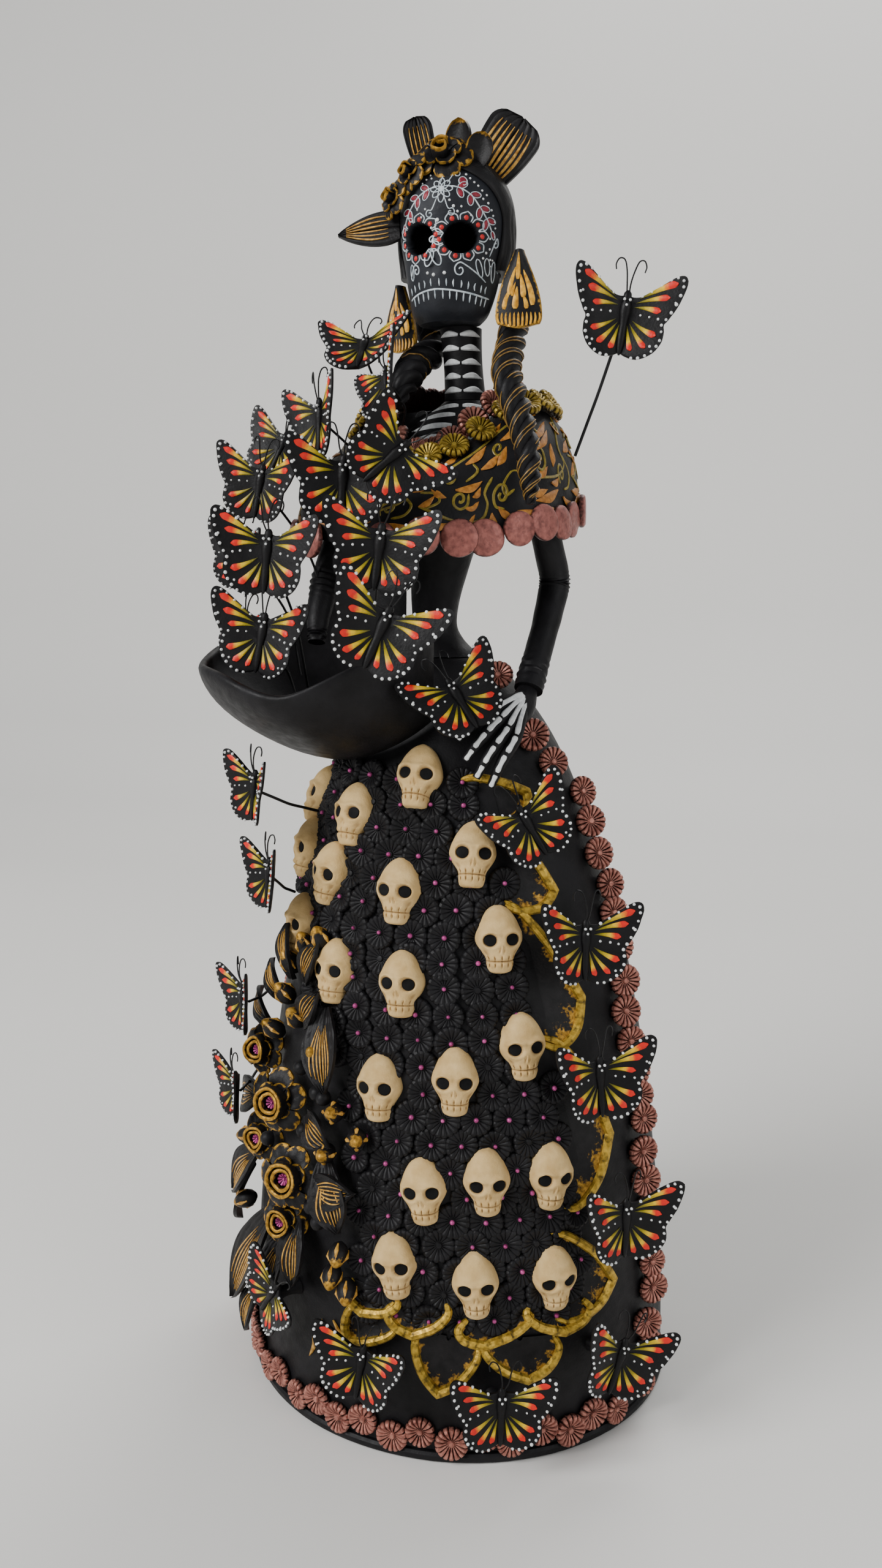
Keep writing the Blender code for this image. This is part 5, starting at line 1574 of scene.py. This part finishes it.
def headdress():
    for name, *shape in CROWN_LEAVES:
        mould = Mould(name + "_looks", GILDED, LEAFGOLD)
        leaf(mould, *shape, along=True)
        mould.build("black_gold_clay", replaces=[name])
    roses = Mould("crown_roses_looks", GILDED)
    for k, (place, radius, azimuth, elevation) in enumerate((
            ((-0.0035, -0.0125, 0.4862), 0.0112, 2, 34), ((-0.0150, -0.0155, 0.4805), 0.0080, -36, 20),
            ((-0.0218, -0.0140, 0.4728), 0.0082, -44, 14))):
        bloom(roses, facing_frame(place, azimuth, elevation, 20 * k), radius, 5, 40 + k)
    for base, tip, facing, half_width in (
            ((0.0008, -0.0060, 0.4840), (0.0030, -0.0080, 0.5005), (-0.3, -0.9, 0.2), 0.0056),
            ((0.0070, -0.0080, 0.4820), (0.0120, -0.0100, 0.4945), (0.2, -0.95, 0.2), 0.0050)):
        petal = plate_surface(base, tip, facing, half_width, 0.6, 0.35, 0.0, 0.5, 0.5)
        front = [[petal(r / 14, -1 + c / 7, 0.0008) for c in range(15)] for r in range(15)]
        back = [[petal(r / 14, -1 + c / 7, -0.0008) for c in range(15)] for r in range(15)]
        tints = [[max(0.0, (r / 14 - 0.78) / 0.22, (1 - c / 7 - 0.80) / 0.20) * 0.85 for c in range(15)]
                 for r in range(15)]
        roses.slab(front, back, GILDED, tints)
    roses.build("black_gold_clay", replaces=["crown_roses"])


# ---------------------------------------------------------------- bouquet at the left of the skirt
# Leaves as base and tip (azimuth, height, lift), half width, veins, widest
BOUQUET_LEAVES = [
    ((-27, .170, .004), (-21, .140, .010), .0085, 7, .5),
    ((-22, .114, .004), (-15, .089, .009), .0090, 7, .6),
    ((-42, .082, .004), (-60, .030, .011), .0092, 7, .5),
    ((-50, .045, .003), (-55, .019, .007), .0062, 5, .5),
    ((-30, .086, .004), (-29, .060, .008), .0072, 5, .5),
    ((-55, .100, .004), (-68, .072, .011), .0085, 6, .5),
    ((-46, .175, .004), (-49, .196, .009), .0056, 5, .5),
    ((-38, .176, .004), (-31, .194, .008), .0052, 5, .5),
    ((-62, .150, .004), (-74, .160, .009), .0072, 5, .5),
    ((-60, .120, .004), (-76, .110, .010), .0078, 6, .5),
    ((-36, .160, .004), (-28, .176, .008), .0058, 5, .5),
    ((-50, .165, .004), (-60, .178, .008), .0062, 5, .5),
    ((-26, .102, .005), (-11, .106, .010), .0070, 6, .5),
    ((-36, .076, .004), (-40, .046, .008), .0068, 5, .5),
    ((-66, .085, .004), (-76, .052, .009), .0078, 6, .5),
    ((-30, .128, .004), (-19, .120, .009), .0066, 5, .5),
]
BUDS = [
    (-46, .178), (-45.5, .166), (-49, .151), (-37.5, .160), (-20.5, .132), (-13.5, .125), (-22, .117),
    (-17, .082), (-18.5, .073), (-14.5, .069), (-62, .074), (-39.5, .187), (-33, .191), (-66, .098),
    (-28, .150), (-56, .060),
]
BERRIES = [
    (-26, .138), (-23.5, .137), (-29.5, .122), (-22.5, .089), (-33, .145), (-46, .110), (-25, .094),
    (-50, .126),
]
# Roses as (azimuth, height), lift, radius
ROSES = [((-40, .129), .0085, .0130), ((-32, .103), .0085, .0134)]
SIDE_ROSES = [((-35, .083), .0060, .0105), ((-60, .140), .0060, .0110), ((-53, .106), .0050, .0105)]


def skirt_rose(mould, azimuth, z, lift, radius, seed):
    out = azimuth * 0.35
    base = facing_frame(skirt(azimuth, z, lift), out, 10, seed * 25.0)
    bloom(mould, base, radius, 6, seed, False)
    count = 40
    for share, depth in ((0.44, 0.50), (0.28, 0.44)):
        rings = []
        for x, h in (
                (0.02, 0.10), (0.10, 0.12), (0.12, 0.8), (0.08, 1.0), (0.0, 1.02), (-0.06, 0.96),
                (-0.06, 0.2)):
            rings.append([base @ Vector((radius * (share + x * 0.7) * math.cos(a)
                                         * (1 + 0.05 * math.sin(3 * a + seed)),
                                         radius * (share + x * 0.7) * math.sin(a),
                                         radius * (0.10 + depth * h) * (1 + 0.08 * math.sin(2 * a + seed))))
                          for a in angles(count)])
        points = [p for ring in rings for p in ring]
        tints = spread([0.0, 0.0, 0.05, 0.62, 0.80, 0.55, 0.0], count)
        mould.add(points, side_faces(count, len(rings), around=True), GILDED, tints)
    mould.stamp(rosette_shape(radius * 0.20, radius * 0.16, 9),
                base @ Matrix.Translation((0, 0, radius * 0.26)), BEAD)


def bouquet():
    mat = Mould("bouquet_leaves_looks", GILDED, LEAFGOLD, CLAY, BEAD)
    for k, (foot, point, half_width, veins, widest) in enumerate(BOUQUET_LEAVES):
        base = skirt(*foot)
        tip = skirt(*point)
        middle = ((foot[0] + point[0]) / 2, (foot[1] + point[1]) / 2)
        leaf(mat, base, tip, normal_of(skirt, *middle), half_width, veins, 0.0020, widest, 0.22, 0.0030)
    for azimuth, z in BUDS:
        place = seat(skirt, azimuth, z, 0.0030, 0, 0)
        way = Vector(((azimuth + 38) * 0.03, (z - 0.115) * 22, 1.4)).normalized()
        up = place.to_3x3() @ way
        start = place.translation
        line = [start + up * 0.0110 * s for s in (0, .15, .35, .6, .8, .95, 1.0)]
        mat.rope(line, [0.0014, 0.0030, 0.0039, 0.0036, 0.0026, 0.0012, 0.0004], GILDED, 12,
                 [0.0, 0.0, 0.05, 0.15, 0.45, 0.8, 0.9])
        side = up.cross(Vector((0, 0, 1))).normalized()
        for turn in (0, 90, 180, 270):
            out = Matrix.Rotation(math.radians(turn), 3, up) @ side
            mat.rope([start + up * 0.0030 + out * 0.0036, start + up * 0.0062 + out * 0.0035,
                      start + up * 0.0092 + out * 0.0019],
                     [0.0003, 0.0009, 0.0003], LEAFGOLD, 6)
    for azimuth, z in BERRIES:
        place = seat(skirt, azimuth, z, 0.0070)
        mat.stamp(bead_shape(0.0030, 16), place, CLAY)
    for k, ((azimuth, z), lift, radius) in enumerate(SIDE_ROSES):
        skirt_rose(mat, azimuth, z, lift, radius, 60 + k)
    for start, end in (((-24, .046), (-22, .032)), ((-20, .048), (-17, .036)), ((-27, .040), (-28, .028))):
        mat.brush(skirt, [start, ((start[0] + end[0]) / 2 + 1, (start[1] + end[1]) / 2), end],
                  [.0005, .0011, .0004], LEAFGOLD, .0005)
    mat.build("black_gold_clay", replaces=["bouquet_leaves"])
    for name, ((azimuth, z), lift, radius), seed in (("bouquet_rose_upper", ROSES[0], 71),
                                                     ("bouquet_rose_lower", ROSES[1], 72)):
        rose = Mould(name + "_looks", GILDED, BEAD)
        skirt_rose(rose, azimuth, z, lift, radius, seed)
        rose.build("black_gold_clay", replaces=[name])


# ---------------------------------------------------------------- butterflies
# The right wings in spans, from the body's middle: their edge, and each cell as root, end, half width
WING_EDGE = [
    (.014, .205), (.06, .190), (.14, .205), (.26, .285), (.38, .372), (.46, .398), (.498, .352),
    (.482, .24), (.44, .12), (.385, .02), (.352, -.03), (.358, -.09), (.355, -.17), (.315, -.25),
    (.24, -.315), (.15, -.345), (.06, -.325), (.014, -.300),
]
WING_CELLS = [
    ((.11, .175), (.415, .325), .030), ((.085, .140), (.365, .205), .027),
    ((.075, .105), (.305, .085), .025), ((.075, -.015), (.290, -.130), .028),
    ((.055, -.045), (.215, -.245), .028), ((.035, -.06), (.095, -.275), .026),
]
# Name, place, azimuth and elevation that it faces, roll, and span from wing to wing
BUTTERFLIES = [
    ("left_ear", (-0.032, -0.023, 0.418), -5, 48, -8, 0.037),
    ("by_neck", (-0.0165, -0.0425, 0.4020), -50, 15, -28, 0.034),
    ("left_shoulder", (-0.044, -0.038, 0.390), -38, 6, -6, 0.038),
    ("outer_top", (-0.067, -0.022, 0.382), -15, 20, 16, 0.034),
    ("outer_upper", (-0.063, -0.051, 0.366), -8, 6, 10, 0.036),
    ("breast", (-0.026, -0.063, 0.366), 14, 0, 4, 0.041),
    ("neckline", (-0.007, -0.067, 0.374), 22, -8, 50, 0.038),
    ("pouch_upper", (-0.0525, -0.0700, 0.3405), 2, 2, 6, 0.041),
    ("pouch_outer", (-0.078, -0.036, 0.340), -30, 4, 10, 0.036),
    ("waist_upper", (-0.008, -0.077, 0.342), 12, 2, 8, 0.041),
    ("in_pouch", (-0.059, -0.062, 0.311), -4, 4, 10, 0.040),
    ("pouch_left", (-0.080, -0.031, 0.310), -34, 6, 16, 0.036),
    ("pouch_front", (-0.006, -0.083, 0.315), 18, 4, 24, 0.042),
    ("waist_front", (0.013, -0.048, 0.289), 18, 24, -30, 0.039),
    ("skirt_1", (0.039, -0.044, 0.242), 34, 14, -28, 0.039),
    ("skirt_2", (0.061, -0.047, 0.199), 36, 10, 4, 0.041),
    ("skirt_3", (0.069, -0.055, 0.150), 36, 8, 0, 0.041),
    ("skirt_4", (0.080, -0.057, 0.096), 38, 4, 3, 0.041),
    ("skirt_5", (0.079, -0.060, 0.041), 38, 4, 20, 0.040),
    ("skirt_6", (0.039, -0.083, 0.028), 22, 4, 2, 0.041),
    ("skirt_7", (-0.014, -0.089, 0.040), -8, 4, 8, 0.040),
    ("skirt_8", (-0.056, -0.075, 0.054), -36, 4, 36, 0.036),
]
# The same for those that nod, and the root of the wire
WIRED = [
    ("shoulder", (0.066, -0.020, 0.4245), 14, 2, 8, 0.040, (0.0468, -0.0060, 0.3785)),
    ("upper_left", (-0.069, -0.050, 0.251), -40, 6, 2, 0.036, (-0.0515, -0.0275, 0.2400)),
    ("middle_left", (-0.063, -0.052, 0.217), -46, 6, -2, 0.036, (-0.0625, -0.0275, 0.2055)),
    ("lower_left", (-0.078, -0.046, 0.163), -48, 4, -8, 0.036, (-0.0775, -0.0170, 0.1600)),
    ("bouquet", (-0.082, -0.048, 0.125), -50, 4, -4, 0.034, (-0.0850, -0.0170, 0.1230)),
]


def butterfly(name, place, azimuth, elevation, roll, span, body="figure"):
    """A monarch: clay wings with painted cells and white dots, a modelled body and wire antennae."""
    rng = random.Random(name)
    mould = Mould("butterfly_%s_looks" % name, WING, CELL, WHITE, WIRE)
    pose = facing_frame(place, azimuth, elevation, roll)
    bend = rng.uniform(-0.10, 0.10)
    seed = rng.uniform(0, 50)

    def surface(x, y, lift=0.0):
        curl = (0.10 * x * x + bend * x * (y + 0.1)) + 0.018 * noise.noise(Vector((x * 3, y * 3, seed)))
        return pose @ Vector((x * span, y * span, (abs(x) * WING_SLOPE + curl) * span + lift))

    edge = curve([Vector(p) for p in WING_EDGE], 3)
    count = len(edge) - 1
    shares = (0.0, 0.25, 0.5, 0.75, 0.92, 1.0)
    front = []
    back = []
    for i, (edge_x, edge_y) in enumerate(edge):
        middle = 0.200 - 0.495 * i / count
        wob = 1.0 + 0.012 * noise.noise(Vector((i * 0.5, seed, 0)))
        line = []
        under = []
        for side, run in ((-1, shares[:0:-1]), (1, shares)):
            for share in run:
                x = side * edge_x * share * wob
                y = middle + (edge_y - middle) * share
                thin = 0.0004 * share ** 8
                line.append(surface(x, y, -thin))
                under.append(surface(x, y, -WING_THICK + thin))
        front.append(line)
        back.append(under)
    mould.slab(front, back, WING)
    spine = [
        (.240, .018), (.218, .034), (.185, .039), (.160, .030), (.120, .047), (.06, .051), (.0, .041),
        (-.06, .034), (-.14, .037), (-.22, .033), (-.28, .023), (-.320, .009),
    ]
    mould.rope([surface(0, y, 0.010 * span) for y, r in spine], [r * span for y, r in spine], WING, 12,
               flat=0.85, up=pose.to_3x3() @ Vector((0, 0, 1)))
    for side in (-1, 1):
        for root, end, half in WING_CELLS:
            jitter = rng.uniform(-0.006, 0.006)
            knots = []
            for share in (0.0, 0.3, 0.6, 0.85, 1.0):
                x = root[0] + (end[0] - root[0]) * share
                bow = 0.010 * math.sin(math.pi * share) * (1 if root[1] > 0 else -1)
                y = root[1] + (end[1] - root[1]) * share + jitter + bow
                knots.append((side * x, y))
            size = half * span * rng.uniform(0.9, 1.1)
            mould.brush(surface, knots, [size * v for v in (0.20, 0.48, 0.80, 1.12, 0.72)], CELL, 0.00030,
                        (0.3, 0.35),
                        (0.0, 1.0), 3)
        run = 0.0
        spots = []
        for i in range(1, len(edge)):
            run += (edge[i] - edge[i - 1]).length
            if edge[i - 1].x > 0.10 and run >= 0.056:
                spots.append(i)
                run = 0.0
        for i in spots:
            middle = 0.200 - 0.495 * i / count
            x = edge[i].x * 0.935
            y = middle + (edge[i].y - middle) * 0.935
            mould.dot(surface, side * x, y, span * rng.uniform(0.0115, 0.0165), WHITE, 0.0005)
        for x, y in ((0.14, 0.040), (0.22, 0.030), (0.29, 0.016), (0.26, -0.225), (0.41, 0.160)):
            mould.dot(surface, side * (x + rng.uniform(-0.008, 0.008)), y,
                      span * rng.uniform(0.009, 0.013), WHITE,
                      0.0004)

        def feeler(x, y, height=0.0):
            return pose @ Vector((side * x * span, y * span, height * span))

        lean = rng.uniform(-0.02, 0.03)
        wire = curve([feeler(.010, .21, .02), feeler(.022 + lean, .30, .05), feeler(.040 + lean, .40, .06),
                      feeler(.070 + lean, .485, .05), feeler(.115 + lean, .500, .03),
                      feeler(.140 + lean, .455, .02),
                      feeler(.132 + lean, .405, .02)], 4)
        mould.rope(wire, ANTENNA_RADIUS, WIRE, 6)

    def back_of_thorax(x, y, lift=0.0):
        return surface(x, y, 0.047 * span + lift)

    for x, y in ((-.026, .155), (.026, .155), (0.0, .110)):
        mould.dot(back_of_thorax, x, y, span * 0.0125, WHITE, 0.0005)
    mould.build("butterfly_paint", body, ["butterfly_" + name])


def spring_wire(name, root, place, azimuth, elevation):
    """The wire that a butterfly nods on, pushed into the clay at its root."""
    out = facing_frame(place, azimuth, elevation, 0.0).col[2].to_3d()
    end = Vector(place) - out * 0.0022
    root = Vector(root)
    middle = (root + end) / 2 + Vector((0, 0, -0.0010))
    mould = Mould("wire_%s_looks" % name, WIRE)
    line = curve([root, root.lerp(middle, 0.5), middle, middle.lerp(end, 0.5), end], 8)
    mould.rope(line, SPRING_RADIUS, WIRE, 10)
    mould.build("spring_wire", name + "_butterfly", ["wire_" + name])


# Where the wires of the cascade are rooted, in the pouch, the arm or the bodice, and how far they sag
CASCADE_ROOTS = {
    "left_ear": ((-0.0300, 0.0040, 0.3960), 0.000), "by_neck": ((-0.0180, -0.0180, 0.3900), 0.000),
    "left_shoulder": ((-0.0380, -0.0130, 0.3640), 0.006), "outer_top": ((-0.0480, -0.0150, 0.3420), 0.006),
    "outer_upper": ((-0.0490, -0.0220, 0.3260), 0.004), "breast": ((-0.0240, -0.0440, 0.3560), 0.000),
    "neckline": ((0.0040, -0.0480, 0.3640), 0.000), "pouch_upper": ((-0.0480, -0.0440, 0.2900), 0.004),
    "pouch_outer": ((-0.0600, -0.0220, 0.2940), 0.004), "waist_upper": ((-0.0260, -0.0480, 0.2850), 0.004),
    "in_pouch": ((-0.0500, -0.0480, 0.2830), 0.002), "pouch_left": ((-0.0640, -0.0200, 0.2880), 0.003),
    "pouch_front": ((-0.0200, -0.0560, 0.2860), 0.002),
}


def butterfly_posts():
    """Bare wires behind the cascade and clay studs behind the butterflies of the skirt."""
    wires = Mould("cascade_wires", WIRE)
    studs = Mould("butterfly_studs", CLAY)
    for name, place, azimuth, elevation, _, _ in BUTTERFLIES:
        out = facing_frame(place, azimuth, elevation, 0.0).col[2].to_3d()
        end = Vector(place) - out * 0.0012
        if name in CASCADE_ROOTS:
            root, sag = CASCADE_ROOTS[name]
            root = Vector(root)
            middle = root.lerp(end, 0.55) - out * (0.004 + sag)
            wires.rope(curve([root, middle, end - out * 0.001, end], 8), CASCADE_WIRE_RADIUS, WIRE, 8)
            continue
        azimuth = math.degrees(math.atan2(end.x, -end.y))
        foot = min((skirt(azimuth + step, max(end.z - drop, 0.008), -0.0006) for step in range(-12, 13, 3)
                    for drop in (-0.006, 0.0, 0.006, 0.012)), key=lambda p: (p - end).length)
        line = [foot.lerp(end, k / 5) for k in range(6)]
        studs.rope(line, [0.0034, 0.0027, 0.0023, 0.0023, 0.0027, 0.0030], CLAY, 12)
    wires.build("spring_wire")
    studs.build("black_clay")


# ---------------------------------------------------------------- stage
def stage():
    look = stage_look()
    rows = []
    for y, z in (
            (-2.5, 0.0), (0.2, 0.0), (0.75, 0.0), (0.95, 0.03), (1.08, 0.12), (1.15, 0.28), (1.18, 0.6),
            (1.18, 3.0)):
        rows.append([(-3.0, y, z - 0.0002), (3.0, y, z - 0.0002)])
    mesh = bpy.data.meshes.new("studio_floor")
    points = [p for row in rows for p in row]
    mesh.from_pydata(points, [], [[2 * i, 2 * i + 1, 2 * i + 3, 2 * i + 2] for i in range(len(rows) - 1)])
    mesh.materials.append(look)
    mesh.shade_smooth()
    floor = bpy.data.objects.new("studio_floor", mesh)
    bpy.context.scene.collection.objects.link(floor)


def area_light(name, place, target, size, power):
    data = bpy.data.lights.new(name, "AREA")
    data.shape = "DISK"
    data.size = size
    data.energy = power
    lamp = bpy.data.objects.new(name, data)
    lamp.location = place
    lamp.rotation_euler = (Vector(target) - Vector(place)).to_track_quat("-Z", "Y").to_euler()
    bpy.context.scene.collection.objects.link(lamp)


def lights():
    middle = (0.0, 0.0, 0.26)
    area_light("window_light", (-1.1, -1.3, 1.25), middle, 1.1, 44)
    area_light("right_fill", (1.5, -0.7, 0.8), middle, 1.2, 9)
    area_light("back_light", (0.3, 1.0, 1.4), middle, 1.0, 13)
    world = bpy.data.worlds.new("studio_air")
    world.use_nodes = True
    world.node_tree.nodes["Background"].inputs["Color"].default_value = shade(232, 236, 240)
    world.node_tree.nodes["Background"].inputs["Strength"].default_value = 0.40
    bpy.context.scene.world = world


EYE = (0.1294, -0.4830, 0.337)
EYE_ABOVE_DOWN = 80.0
EYE_HEADING = 15.855
HALF_FIELD = 32.5


def camera():
    data = bpy.data.cameras.new("photo_view")
    data.sensor_fit = "VERTICAL"
    data.sensor_height = 36.0
    data.lens = data.sensor_height / 2 / math.tan(math.radians(HALF_FIELD))
    eye = bpy.data.objects.new("photo_view", data)
    eye.location = EYE
    eye.rotation_euler = (math.radians(EYE_ABOVE_DOWN), 0.0, math.radians(EYE_HEADING))
    bpy.context.scene.collection.objects.link(eye)
    bpy.context.scene.camera = eye


def main():
    camera()
    stage()
    lights()
    base_plate()
    skirt_body()
    torso_body()
    neck_bones()
    ruffle_cloth()
    neckline()
    hem_discs()
    sleeve("right_sleeve_looks", RIGHT_ARM, [0.0056, 0.0060, 0.0060, 0.0060, 0.0054, 0.0056], 0.50,
           "right_sleeve")
    sleeve("left_arm_looks", LEFT_ARM, [0.0056, 0.0060, 0.0058, 0.0050, 0.0034], 0.60, "left_arm")
    hand()
    pouch()
    rosette_panel()
    for number, (azimuth, z, tilt) in enumerate(SKULLS):
        small_skull(number, azimuth, z, tilt)
    petal_border()
    copper_band()
    bouquet()
    skull_head()
    hair_cap()
    braid("braid_right", True)
    braid("braid_left", False)
    earring("earring_right", (0.0250, -0.0090, 0.4530), 0.0268, 10, 0.0018, 0.0088)
    earring("earring_left", (-0.0248, 0.0002, 0.4450), 0.0240, -10, 0.0018, 0.0068)
    headdress()
    for item in BUTTERFLIES:
        butterfly(*item)
    for name, place, azimuth, elevation, roll, span, root in WIRED:
        butterfly(name, place, azimuth, elevation, roll, span, name + "_butterfly")
        spring_wire(name, root, place, azimuth, elevation)
    butterfly_posts()


main()
